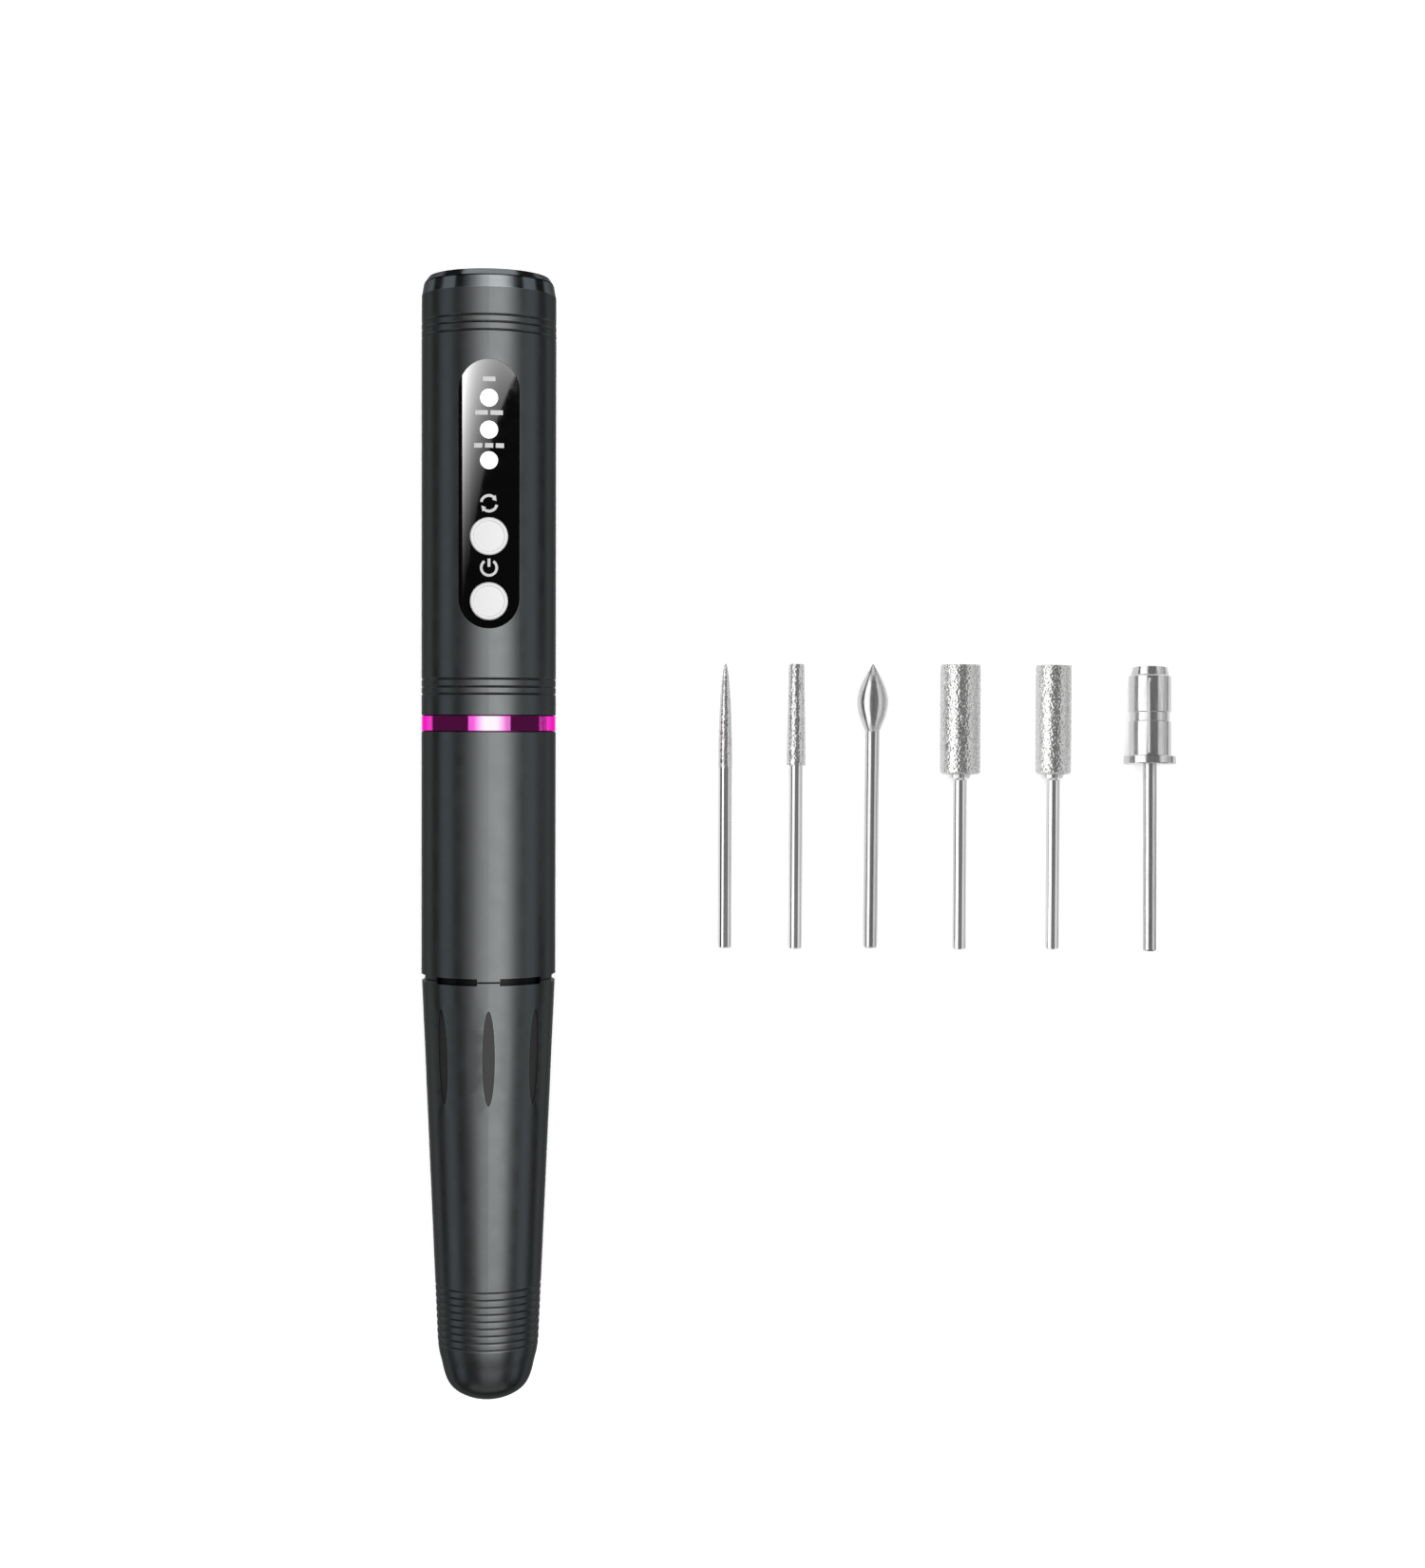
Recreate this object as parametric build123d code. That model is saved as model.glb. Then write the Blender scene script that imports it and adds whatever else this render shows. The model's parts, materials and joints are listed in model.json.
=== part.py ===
from build123d import *
import math
import os

# A cordless pen-shaped nail drill and six loose bits, in millimetres.
# The pen lies along Y with its tail towards +Y. Its axis is x = z = 0, the chuck's mouth is the origin and
# the control panel faces +Z. Stations are places along Y. The table is the plane z = -TUBE_R.

# Outer shape
TUBE_R = 10.5
NOSE_TIP = -33.0
SEAM = 33.8
RING_START = 72.3
RING_END = 74.8
TAIL_EDGE = 140.05
TAIL_STEP = 141.95
TAIL_STEP_R = 10.2
TAIL_FACE = 142.95
TAIL_FACE_R = 9.5
TAIL_LINE = 0.12

# Clearances
FIT = 0.02
RUN = 0.05
SLIDE = 0.08
EDGE_BEVEL = 0.12

# Protective nose cap
CAP_RIM_R = 10.43
CAP_TAPER = 0.0437
NOSE_ROUND = 10.6
NOSE_FLAT = (1.0, 4.25)
NOSE_CORNER = (2.5, 6.06)
NOSE_SHOULDER = (6.1, 7.3)
CAP_MOUTH_R = 9.0
CAP_BORE_R = 8.2
CAP_BORE_STEP = 23.7
CAP_BORE_TAPER = 12.0
CAP_BORE_NARROW = (-22.0, 6.3)
CAP_BORE_CORNER = (-27.5, 5.0)
CAP_BORE_END = (-30.6, 2.5)
TAB_COUNT = 6
TAB_SPREAD = 19.0
RELIEF = 0.57
RELIEF_R = 9.75
NOSE_GROOVES = 9
NOSE_GROOVE_FIRST = -23.8
NOSE_GROOVE_PITCH = 1.13
NOSE_GROOVE_WIDTH = 0.86
NOSE_GROOVE_DEPTH = 0.14

# Grip inlays: long ellipses let into the cap
INLAYS = 8
INLAY_START = 14.6
INLAY_END = 29.4
INLAY_HALF_WIDTH = 1.0
INLAY_DEPTH = 0.5
INLAY_SUNK = 0.18

# Motor housing and control housing
MOTOR_BORE_R = 9.35
SPIGOT_R = 9.3
SPIGOT_BORE_R = 8.3
SPIGOT_START = 66.0
CONTROL_BORE_R = 9.3
CONTROL_BORE_START = 77.0
FINE_GROOVES = (78.1, 79.2, 80.4, 133.55, 134.75, 135.85)
FINE_GROOVE_WIDTH = 0.55
FINE_GROOVE_DEPTH = 0.13

# Control panel
PANEL_START = 88.0
PANEL_END = 129.1
PANEL_WIDTH = 9.35
PANEL_FLOOR_R = 9.78
PANEL_TOP_R = 10.42
PANEL_LEDGE = 0.8
POWER_BUTTON = 92.2
DIRECTION_BUTTON = 102.1
BUTTON_R = 2.88
BUTTON_FLANGE_R = 3.4
BUTTON_FLANGE = (8.65, 9.05)
BUTTON_EDGE = (10.42, 10.6)
BUTTON_EDGE_BEVEL = 0.18
BUTTON_RIM = 0.3
BUTTON_DISH = 0.1
BUTTON_CROWN = 10.6
BUTTON_STEM_R = 0.95
BUTTON_STEM_END = 7.45
LIGHTS = (123.15, 118.3, 113.65)
LIGHT_R = 1.34
LIGHT_SHOULDER_R = 1.7
LIGHT_SHOULDER_TOP = 9.3
LIGHT_BASE = 7.15
LED_HALF = (0.8, 0.4)

# Spindle, collet and bearings
CHUCK_R = 1.19
CHUCK_DEPTH = 17.0
COLLET_R = 1.7
COLLET_HEAD_R = 2.6
COLLET_HEAD_END = 1.4
COLLET_CONE_END = 3.2
COLLET_END = 22.3
COLLET_SLIT = 0.4
COLLET_SLIT_END = 14.5
SPINDLE_START = 0.6
SPINDLE_R = 2.5
SPINDLE_NOSE_R = 3.4
SPINDLE_NOSE_END = 4.9
SHOULDER = (11.3, 12.2)
SHOULDER_R = 4.2
SPINDLE_BORE_END = 24.0
SPINDLE_END = 37.6
BEARING_WIDTH = 4.0
BEARINGS = (5.0, 28.5)
BEARING_R = 5.5
BALL_CIRCLE_R = 4.0
BALL_R = 0.74
BALL_GROOVE_R = 0.78
BALLS = 8
RACE_LAND = 0.45

# Chuck release: the lock ring's cam slots push two pins, the collar, the thrust ring and the collet forward
LOCK_RING = (13.3, 23.9)
LOCK_RING_R = 8.0
LOCK_RING_BORE_R = 6.6
LOCK_RING_FLUTES = 24
FLUTE_R = 0.45
LOCK_TURN = 90.0
CAM_STEPS = 18
CAM_SLOT_R = 0.9
CAM_SLOT_FLOOR_R = 7.6
PIN_R = 0.75
PIN_STATION = 22.6
PIN_REACH = (3.4, 7.5)
COLLAR = (21.6, 24.2)
COLLAR_BORE_R = 2.9
COLLAR_TRAVEL = 1.1
COLLET_TRAVEL = 0.85
THRUST = (19.3, 21.3)
CROSS_PIN_R = 0.5
CROSS_PIN_STATION = 20.3
CROSS_PIN_HALF = 4.1
SPRING_R = 3.4
SPRING_WIRE_R = 0.3
SPRING_TURNS = 5

# Snout (front housing)
SNOUT_START = 4.9
SNOUT_NOSE_R = 6.0
SNOUT_NOSE_END = 8.05
NECK_R = 6.5
NECK_BORE_R = 4.6
BARREL_START = 24.0
BARREL_R = 8.8
PLUG_START = 34.0
PLUG_BORE_START = 34.5
PLUG_END = 47.0
PLUG_R = 9.3
PLUG_BORE_R = 8.2
LOCK_CLIP = (12.6, 13.2)
LOCK_CLIP_R = (6.15, 7.4)
BEARING_CLIP = (32.6, 33.2)
BEARING_CLIP_R = (4.7, 5.85)
CLIP_GAP = 45.0
NOSE_RING_START = 1.2
NOSE_RING_R = 6.9

# Seal rings: station, ring radius, cord radius
CAP_SEAL = (27.0, 8.5, 0.47)
LOCK_SEAL = (15.5, 6.1, 0.46)
TAIL_SEAL = (139.15, 8.97, 0.3)
SEAL_GROOVE_SIDE = 0.1

# Coupling
COUPLING_R = 4.2
COUPLING_JAW_R = 1.7
DRIVEN_HUB = (35.6, 38.0)
DRIVE_HUB = (41.1, 43.6)
JAW_SPREAD = 50.0
SPIDER = (38.1, 41.0)
SPIDER_SPREAD = 38.0

# Motor
MOTOR_R = 7.8
MOTOR_WALL = 0.5
MOTOR_FACE = 47.0
MOTOR_CAN_END = 69.4
MOTOR_BOSS_START = 45.6
MOTOR_BOSS_R = 3.0
END_BELL = (69.45, 71.2)
END_BOSS_END = 72.6
END_BOSS_R = 3.4
BUSH_R = 2.2
SHAFT_R = 1.0
SHAFT = (41.3, 72.4)
MAGNETS = (50.0, 65.0)
MAGNET_R = (6.25, 7.28)
MAGNET_SPREAD = 140.0
CORE = (51.5, 63.5)
CORE_R = 5.95
POLES = 3
POLE_SPREAD = 96.0
POLE_SHOE = 0.95
SPOKE_HALF = 0.8
SPOKE_OVERLAP = 0.3
CORE_HUB_R = 2.1
COIL_HALF = 2.6
COIL = (2.3, 4.2)
COIL_OVERHANG = 1.6
FRONT_BUSH_REACH = 1.5
COMMUTATOR = (66.2, 69.0)
COMMUTATOR_R = 1.9
BRUSH = (66.8, 68.2)
BRUSH_OUTER = 5.2
TERMINAL = (5.25, 5.65)
TERMINAL_END = 75.2
TERMINAL_HALF = 1.0
BRUSH_HALF = 0.9
MOTOR_PLATE = (45.4, 46.95)
MOTOR_SCREW_X = 5.4
SCREW_R = 0.78
SCREW_HEAD_R = 1.4
SCREW_HEAD = 1.1
SLEEVE = (52.0, 60.0)

# Battery, boards and socket
CARRIER = (77.6, 134.2)
CARRIER_R = 9.2
CARRIER_LOW = -6.2
CARRIER_TOP = 5.5
BATTERY_Z = -2.2
BATTERY_R = 7.0
BATTERY = (82.6, 130.9)
BATTERY_TIP = 131.6
BATTERY_TIP_R = 2.2
CONTACT_WIRE_R = 0.2
BAY = (81.0, 132.1)
BOARD_HALF = 5.6
BOARD = (78.3, 134.2)
BOARD_Z = (5.6, 6.4)
BOARD_SCREWS = (79.4, 133.1)
SWITCH_HALF = 2.1
SWITCH_TOP = 7.6
SWITCH_WELL = 6.95
CHARGE_BOARD = (134.35, 140.95)
CHARGE_BOARD_Z = (-2.6, -1.75)
SHELF_END = 139.5
SHELF_Z = -3.7
SOCKET = (135.65, 142.85)
SOCKET_WIDTH = 8.94
SOCKET_HEIGHT = 3.26
SOCKET_WALL = 0.3
TONGUE_HALF = 3.35
TONGUE_END = 142.15
TAIL_PLUG_START = 138.35
TAIL_FLOOR = 141.05
TAIL_BORE_R = 8.0
WIRE_R = 0.4

# Loose bits, each with the standard shank
SHANK_R = 1.175
BIT_TIP = 83.4
BIT_LENGTHS = {"needle": 46.3, "taper": 46.5, "flame": 46.4, "large": 46.5, "small": 46.6, "mandrel": 46.8}
BIT_X = {"needle": 38.3, "taper": 49.85, "flame": 62.25, "large": 76.6, "small": 92.15, "mandrel": 108.1}
BIT_TURN = {"mandrel": -0.7}
NEEDLE_TAPER = 17.0
NEEDLE_TIP_R = 0.12
NEEDLE_SLOPE = 0.22
NEEDLE_POINT = (2.7, 0.54)
NEEDLE_MIDDLE = (8.5, 1.02)
TAPER_HEAD = 16.5
TAPER_TOP_R = 1.3
TAPER_BOTTOM_R = 1.6
FLAME_HEAD = 10.9
FLAME_SHOULDER = (2.2, 1.38)
FLAME_WIDE = 6.1
FLAME_R = 2.55
FLAME_FOOT = (9.0, 1.98)
FLAME_TOP_SLOPE = 0.65
FLAME_FOOT_SLOPE = 0.45
BARREL_HEAD = 17.9
LARGE_R = 3.3
SMALL_R = 2.92
BARREL_BEVEL = 0.35
BARREL_COLLAR_R = 1.7
BARREL_COLLAR = 0.9
BAND_RIM = (0.35, 2.85)
BAND_NOSE = (1.6, 3.1)
BAND_TOP = 1.9
BAND_R = 3.47
BAND_WAIST = (7.7, 9.3)
BAND_WAIST_R = 3.25
BAND_END = 14.9
FLANGE_R = 4.32
FLANGE_END = 16.25
BAND_SLIT = (2.3, 14.5)
BAND_SLIT_HALF = 0.22
BAND_SLIT_ROLL = -18
TABLE = -TUBE_R


def turned(*outline):
    """A solid turned about the pen's axis; the outline's corners are (station, radius)."""
    return revolve(Plane.YZ * make_face(Polyline(*outline, close=True)), Axis.Y)


def tube(span, outer, inner=0.0):
    """A plain tube, or a bar, between the two stations of span."""
    start, end = span
    return turned((start, inner), (end, inner), (end, outer), (start, outer))


def bevelled_tube(span, outer, inner):
    """A tube whose outer corners are broken."""
    start, end = span
    side = outer - EDGE_BEVEL
    return turned(
        (start, inner),
        (end, inner),
        (end, side),
        (end - EDGE_BEVEL, outer),
        (start + EDGE_BEVEL, outer),
        (start, side),
    )


def sector(span, outer, inner, middle, spread):
    """A piece of a tube, spread degrees wide about the direction middle, in degrees from +Z."""
    start, end = span
    outline = Polyline((start, inner), (end, inner), (end, outer), (start, outer), close=True)
    piece = revolve(Plane.YZ * make_face(outline), Axis.Y, spread)
    return Rot(0, middle - spread / 2, 0) * piece


def around(piece, count, first=0.0):
    """Copies of a piece spaced evenly about the pen's axis."""
    return [Rot(0, first + index * 360 / count, 0) * piece for index in range(count)]


def bar(span, radius, x=0.0, z=0.0):
    """A round bar along Y."""
    start, end = span
    return Pos(x, (start + end) / 2, z) * Rot(90, 0, 0) * Cylinder(radius, end - start)


def post(station, low, high, radius, x=0.0):
    """A round bar along Z."""
    return Pos(x, station, (low + high) / 2) * Cylinder(radius, high - low)


def cross_bar(station, inner, outer, radius):
    """A round bar along X."""
    return Pos((inner + outer) / 2, station, 0) * Rot(0, 90, 0) * Cylinder(radius, outer - inner)


def block(x_span, y_span, z_span):
    """A box between two corners."""
    spans = (x_span, y_span, z_span)
    middle = [(low + high) / 2 for low, high in spans]
    return Pos(*middle) * Box(*[high - low for low, high in spans])


def wider(span, extra):
    """The span grown by extra at each end."""
    return span[0] - extra, span[1] + extra


def torus(station, ring_r, cord_r):
    """A ring of round cord about the pen's axis."""
    return Pos(0, station, 0) * Rot(90, 0, 0) * Torus(ring_r, cord_r)


def groove(station, radius, width, depth):
    """The ring of metal that a shallow V groove takes from a surface of the given radius."""
    half = width / 2
    return turned(
        (station - half, radius + RUN),
        (station, radius - depth),
        (station + half, radius + RUN),
    )


def seal_groove(seal):
    """The ring of metal that the groove of a seal ring takes away."""
    station, ring_r, cord_r = seal
    half = cord_r + SEAL_GROOVE_SIDE
    return tube((station - half, station + half), ring_r + 2 * cord_r, ring_r - cord_r - FIT)


def stadium(span, width, low, high):
    """An upright prism with straight sides and round ends."""
    start, end = span
    outline = SlotOverall(end - start, width, rotation=90)
    return Pos(0, (start + end) / 2, low) * extrude(outline, high - low)


def axial_slot(span, width, reach):
    """A round-ended slot that runs along Y and passes through both sides in X."""
    start, end = span
    outline = Plane.YZ * Pos((start + end) / 2, 0) * SlotOverall(end - start, width)
    return extrude(outline, reach, both=True)


def joined(pieces):
    """One shape that holds every piece of a list."""
    return Part() + pieces


# Protective nose cap


def cap_radius(station):
    """Outer radius of the cap's straight taper."""
    return CAP_RIM_R - CAP_TAPER * (SEAM - station)


def cap_blank():
    """The cap's outer shape as a full solid: a rounded nose, then a straight taper to the rim."""
    taper_start = NOSE_TIP + NOSE_ROUND
    rim = SEAM - RUN
    nose = Spline(
        (NOSE_TIP, 0),
        (NOSE_TIP + NOSE_FLAT[0], NOSE_FLAT[1]),
        (NOSE_TIP + NOSE_CORNER[0], NOSE_CORNER[1]),
        (NOSE_TIP + NOSE_SHOULDER[0], NOSE_SHOULDER[1]),
        (taper_start, cap_radius(taper_start)),
        tangents=[(0, 1), (1, CAP_TAPER)],
    )
    rest = Polyline(
        (taper_start, cap_radius(taper_start)),
        (rim - EDGE_BEVEL, cap_radius(rim)),
        (rim, cap_radius(rim) - EDGE_BEVEL),
        (rim, 0),
        (NOSE_TIP, 0),
    )
    return revolve(Plane.YZ * make_face(nose + rest), Axis.Y)


def cap_hollow():
    """The room inside the cap for the snout, the chuck and a fitted bit."""
    return turned(
        (CAP_BORE_END[0], 0),
        CAP_BORE_END,
        CAP_BORE_CORNER,
        CAP_BORE_NARROW,
        (CAP_BORE_TAPER, CAP_BORE_R),
        (CAP_BORE_STEP, CAP_BORE_R),
        (CAP_BORE_STEP, CAP_MOUTH_R),
        (SEAM + RELIEF, CAP_MOUTH_R),
        (SEAM + RELIEF, 0),
    )


def inlay_prism(margin):
    """An upright prism on the ellipse of an inlay, smaller all round by margin."""
    middle = (INLAY_START + INLAY_END) / 2
    half_length = (INLAY_END - INLAY_START) / 2 - margin
    outline = Ellipse(INLAY_HALF_WIDTH - margin, half_length)
    return Pos(0, middle, 0) * extrude(outline, TUBE_R + 1)


def inlay_layer(depth):
    """Everything within the inlays' length that lies deeper in the cap than depth."""
    start = INLAY_START - 1
    end = INLAY_END + 1
    return turned((start, 0), (end, 0), (end, cap_radius(end) - depth), (start, cap_radius(start) - depth))


def rim_reliefs(span):
    """The six places between the tabs where a rim of the seam is cut back."""
    gap = 360 / TAB_COUNT - TAB_SPREAD
    return around(sector(span, TUBE_R + 1, RELIEF_R, 0, gap), TAB_COUNT, 180 / TAB_COUNT)


def protective_cap():
    stations = [NOSE_GROOVE_FIRST + index * NOSE_GROOVE_PITCH for index in range(NOSE_GROOVES)]
    grooves = [
        groove(station, cap_radius(station), NOSE_GROOVE_WIDTH, NOSE_GROOVE_DEPTH) for station in stations
    ]
    recess = inlay_prism(0) - inlay_layer(INLAY_DEPTH)
    cap = cap_blank() - cap_hollow()
    cap -= grooves
    cap -= around(recess, INLAYS)
    return cap - rim_reliefs((SEAM - RELIEF, SEAM + RELIEF))


def grip_inlays():
    inlay = (inlay_prism(FIT) & inlay_layer(INLAY_SUNK)) - inlay_layer(INLAY_DEPTH - FIT)
    return joined(around(inlay, INLAYS))


# Casings


def motor_housing():
    housing = bevelled_tube((SEAM, RING_START), TUBE_R, MOTOR_BORE_R)
    return housing - rim_reliefs((SEAM - RELIEF, SEAM + RELIEF))


def accent_ring():
    return bevelled_tube((RING_START + FIT, RING_END - FIT), TUBE_R, MOTOR_BORE_R)


def control_housing():
    housing = turned(
        (SPIGOT_START, SPIGOT_BORE_R),
        (CONTROL_BORE_START - 1, SPIGOT_BORE_R),
        (CONTROL_BORE_START, CONTROL_BORE_R),
        (TAIL_EDGE, CONTROL_BORE_R),
        (TAIL_EDGE, TUBE_R),
        (RING_END + EDGE_BEVEL, TUBE_R),
        (RING_END, TUBE_R - EDGE_BEVEL),
        (RING_END, SPIGOT_R),
        (SPIGOT_START, SPIGOT_R),
    )
    panel = (PANEL_START, PANEL_END)
    recess = stadium(panel, PANEL_WIDTH, 0, TUBE_R + 1) - tube(wider(panel, 1), PANEL_FLOOR_R)
    opening = stadium(wider(panel, -PANEL_LEDGE), PANEL_WIDTH - 2 * PANEL_LEDGE, 0, TUBE_R + 1)
    grooves = [groove(station, TUBE_R, FINE_GROOVE_WIDTH, FINE_GROOVE_DEPTH) for station in FINE_GROOVES]
    return housing - grooves - recess - opening


def tail_cap():
    cap = turned(
        (TAIL_PLUG_START, TAIL_BORE_R),
        (TAIL_FLOOR, TAIL_BORE_R),
        (TAIL_FLOOR, 0),
        (TAIL_FACE, 0),
        (TAIL_FACE, TAIL_FACE_R),
        (TAIL_STEP + TAIL_LINE, TAIL_STEP_R - TAIL_LINE),
        (TAIL_STEP, TAIL_STEP_R - 2 * TAIL_LINE),
        (TAIL_STEP - TAIL_LINE, TAIL_STEP_R),
        (TAIL_EDGE + FIT, TUBE_R),
        (TAIL_EDGE + FIT, CARRIER_R),
        (TAIL_PLUG_START, CARRIER_R),
    )
    return cap - seal_groove(TAIL_SEAL) - socket_outline(wider(SOCKET, 1), SLIDE)


def front_housing():
    seat_front, seat_rear = BEARINGS
    housing = turned(
        (SNOUT_START, BEARING_R),
        (seat_front + BEARING_WIDTH, BEARING_R),
        (seat_front + BEARING_WIDTH, NECK_BORE_R),
        (seat_rear, NECK_BORE_R),
        (seat_rear, BEARING_R),
        (PLUG_BORE_START, BEARING_R),
        (PLUG_BORE_START, PLUG_BORE_R),
        (PLUG_END, PLUG_BORE_R),
        (PLUG_END, PLUG_R),
        (PLUG_START, PLUG_R),
        (PLUG_START, BARREL_R),
        (BARREL_START, BARREL_R),
        (BARREL_START, NECK_R),
        (SNOUT_NOSE_END, NECK_R),
        (SNOUT_NOSE_END, SNOUT_NOSE_R),
        (SNOUT_START, SNOUT_NOSE_R),
    )
    housing -= [seal_groove(CAP_SEAL), seal_groove(LOCK_SEAL)]
    housing -= tube(wider(LOCK_CLIP, RUN), NECK_R + 1, LOCK_CLIP_R[0] - RUN)
    housing -= tube(wider(BEARING_CLIP, RUN), BEARING_CLIP_R[1] + RUN)
    pin_path = (PIN_STATION - COLLAR_TRAVEL - PIN_R - RUN, PIN_STATION + PIN_R + RUN)
    return housing - axial_slot(pin_path, 2 * (PIN_R + RUN), NECK_R + 1)


def nose_ring():
    skirt_r = SNOUT_NOSE_R + RUN
    return turned(
        (NOSE_RING_START, SPINDLE_NOSE_R + 4 * RUN),
        (SNOUT_START - RUN, SPINDLE_NOSE_R + 4 * RUN),
        (SNOUT_START - RUN, skirt_r),
        (SNOUT_NOSE_END - RUN, skirt_r),
        (SNOUT_NOSE_END - RUN, NOSE_RING_R),
        (SNOUT_START, NOSE_RING_R),
        (NOSE_RING_START, skirt_r - 1),
    )


def seal_rings():
    return joined([torus(*CAP_SEAL), torus(*LOCK_SEAL), torus(*TAIL_SEAL)])


# Bearings, spindle and chuck


def race(start, outer, inner):
    """One bearing ring, with its ball groove."""
    middle = start + BEARING_WIDTH / 2
    ring = tube((start + FIT, start + BEARING_WIDTH - FIT), outer, inner)
    return ring - torus(middle, BALL_CIRCLE_R, BALL_GROOVE_R)


def bearing_outer_races():
    return joined([race(start, BEARING_R - FIT, BALL_CIRCLE_R + RACE_LAND) for start in BEARINGS])


def bearing_inner_races():
    return joined([race(start, BALL_CIRCLE_R - RACE_LAND, SPINDLE_R + FIT) for start in BEARINGS])


def bearing_balls():
    balls = []
    for start in BEARINGS:
        ball = Pos(0, start + BEARING_WIDTH / 2, BALL_CIRCLE_R) * Sphere(BALL_R)
        balls += around(ball, BALLS)
    return joined(balls)


def open_clip(span, radii, middle):
    """A spring clip: a thin ring with a gap."""
    inner, outer = radii
    gap = sector(wider(span, 1), outer + 1, inner - 1, middle, CLIP_GAP)
    return tube(span, outer, inner) - gap


def bearing_clip():
    return open_clip(BEARING_CLIP, BEARING_CLIP_R, 180)


def lock_ring_clip():
    return open_clip(LOCK_CLIP, LOCK_CLIP_R, 0)


def spindle():
    cone_gap = COLLET_CONE_END - COLLET_HEAD_END
    body = turned(
        (SPINDLE_START, COLLET_HEAD_R + SLIDE),
        (COLLET_HEAD_END + RUN, COLLET_HEAD_R + SLIDE),
        (COLLET_HEAD_END + RUN + cone_gap, COLLET_R + SLIDE),
        (SPINDLE_BORE_END, COLLET_R + SLIDE),
        (SPINDLE_BORE_END, 0),
        (SPINDLE_END, 0),
        (SPINDLE_END, SPINDLE_R),
        (SHOULDER[1], SPINDLE_R),
        (SHOULDER[1], SHOULDER_R),
        (SHOULDER[0], SHOULDER_R),
        (SHOULDER[0], SPINDLE_R),
        (SPINDLE_NOSE_END, SPINDLE_R),
        (SPINDLE_NOSE_END, SPINDLE_NOSE_R),
        (SPINDLE_START, SPINDLE_NOSE_R),
    )
    half = CROSS_PIN_R + RUN
    slot = (CROSS_PIN_STATION - COLLET_TRAVEL - half, CROSS_PIN_STATION + half)
    return body - axial_slot(slot, 2 * half, SPINDLE_R + 1)


def collet():
    body = turned(
        (0, CHUCK_R),
        (CHUCK_DEPTH, CHUCK_R),
        (CHUCK_DEPTH, 0),
        (COLLET_END, 0),
        (COLLET_END, COLLET_R),
        (COLLET_CONE_END, COLLET_R),
        (COLLET_HEAD_END, COLLET_HEAD_R),
        (0, COLLET_HEAD_R),
    )
    half = COLLET_SLIT / 2
    slit = block((-half, half), (-1, COLLET_SLIT_END), (0, COLLET_HEAD_R + 1))
    hole = cross_bar(CROSS_PIN_STATION, -COLLET_HEAD_R, COLLET_HEAD_R, CROSS_PIN_R + FIT)
    return body - around(slit, 3) - hole


def cross_pin():
    return cross_bar(CROSS_PIN_STATION, -CROSS_PIN_HALF, CROSS_PIN_HALF, CROSS_PIN_R)


def thrust_ring():
    ring = tube(THRUST, SHOULDER_R, SPINDLE_R + RUN)
    reach = CROSS_PIN_HALF + FIT
    return ring - cross_bar(CROSS_PIN_STATION, -reach, reach, CROSS_PIN_R + FIT)


def closing_spring():
    start = SHOULDER[1] + SPRING_WIRE_R + FIT
    height = THRUST[0] - SPRING_WIRE_R - FIT - start
    path = Helix(height / SPRING_TURNS, height, SPRING_R)
    section = Plane(path @ 0, z_dir=path % 0) * Circle(SPRING_WIRE_R)
    return Pos(0, start, 0) * Rot(-90, 0, 0) * sweep(section, path, is_frenet=True)


def release_collar():
    collar = tube(COLLAR, NECK_BORE_R - RUN, COLLAR_BORE_R)
    hole = cross_bar(PIN_STATION, PIN_REACH[0] - RUN, PIN_REACH[1], PIN_R + FIT)
    return collar - around(hole, 2)


def cam_pins():
    return joined(around(cross_bar(PIN_STATION, *PIN_REACH, PIN_R), 2))


def lock_ring():
    ring = bevelled_tube(LOCK_RING, LOCK_RING_R, LOCK_RING_BORE_R)
    flute = bar(wider(LOCK_RING, -1), FLUTE_R, z=LOCK_RING_R + FLUTE_R / 2)
    ring -= around(flute, LOCK_RING_FLUTES)
    for step in range(CAM_STEPS + 1):
        share = step / CAM_STEPS
        station = PIN_STATION - COLLAR_TRAVEL * share
        notch = cross_bar(station, LOCK_RING_BORE_R - 1, CAM_SLOT_FLOOR_R, CAM_SLOT_R)
        ring -= around(notch, 2, -LOCK_TURN * share)
    return ring


# Coupling between spindle and motor


def coupling_half(hub, jaws, bore_r, middle):
    """A hub with two jaws."""
    half = tube(hub, COUPLING_R, bore_r)
    jaw = sector(jaws, COUPLING_R, COUPLING_JAW_R, middle, JAW_SPREAD)
    return half + around(jaw, 2)


def driven_coupling():
    return coupling_half(DRIVEN_HUB, (DRIVEN_HUB[1], SPIDER[1]), SPINDLE_R + FIT, 0)


def drive_coupling():
    return coupling_half(DRIVE_HUB, (SPIDER[0], DRIVE_HUB[0]), SHAFT_R + FIT, 90)


def coupling_spider():
    arm = sector(wider(SPIDER, -FIT), COUPLING_R - RUN, 1, 45, SPIDER_SPREAD)
    return tube(wider(SPIDER, -FIT), COUPLING_JAW_R - RUN) + around(arm, 4)


# Motor


def screw_y(station, x, length):
    """A cap screw along Y whose head's seat is at station."""
    head = bar((station - SCREW_HEAD, station), SCREW_HEAD_R, x)
    socket = bar((station - SCREW_HEAD - FIT, station - SCREW_HEAD / 2), SCREW_R, x)
    return head - socket + bar((station, station + length), SCREW_R, x)


def motor_holes(span):
    """The two screw holes of the motor's face."""
    return around(bar(span, SCREW_R + FIT, MOTOR_SCREW_X), 2)


def motor_plate():
    plate = tube(MOTOR_PLATE, PLUG_BORE_R - RUN, MOTOR_BOSS_R + RUN)
    return plate - motor_holes(wider(MOTOR_PLATE, 1))


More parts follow.
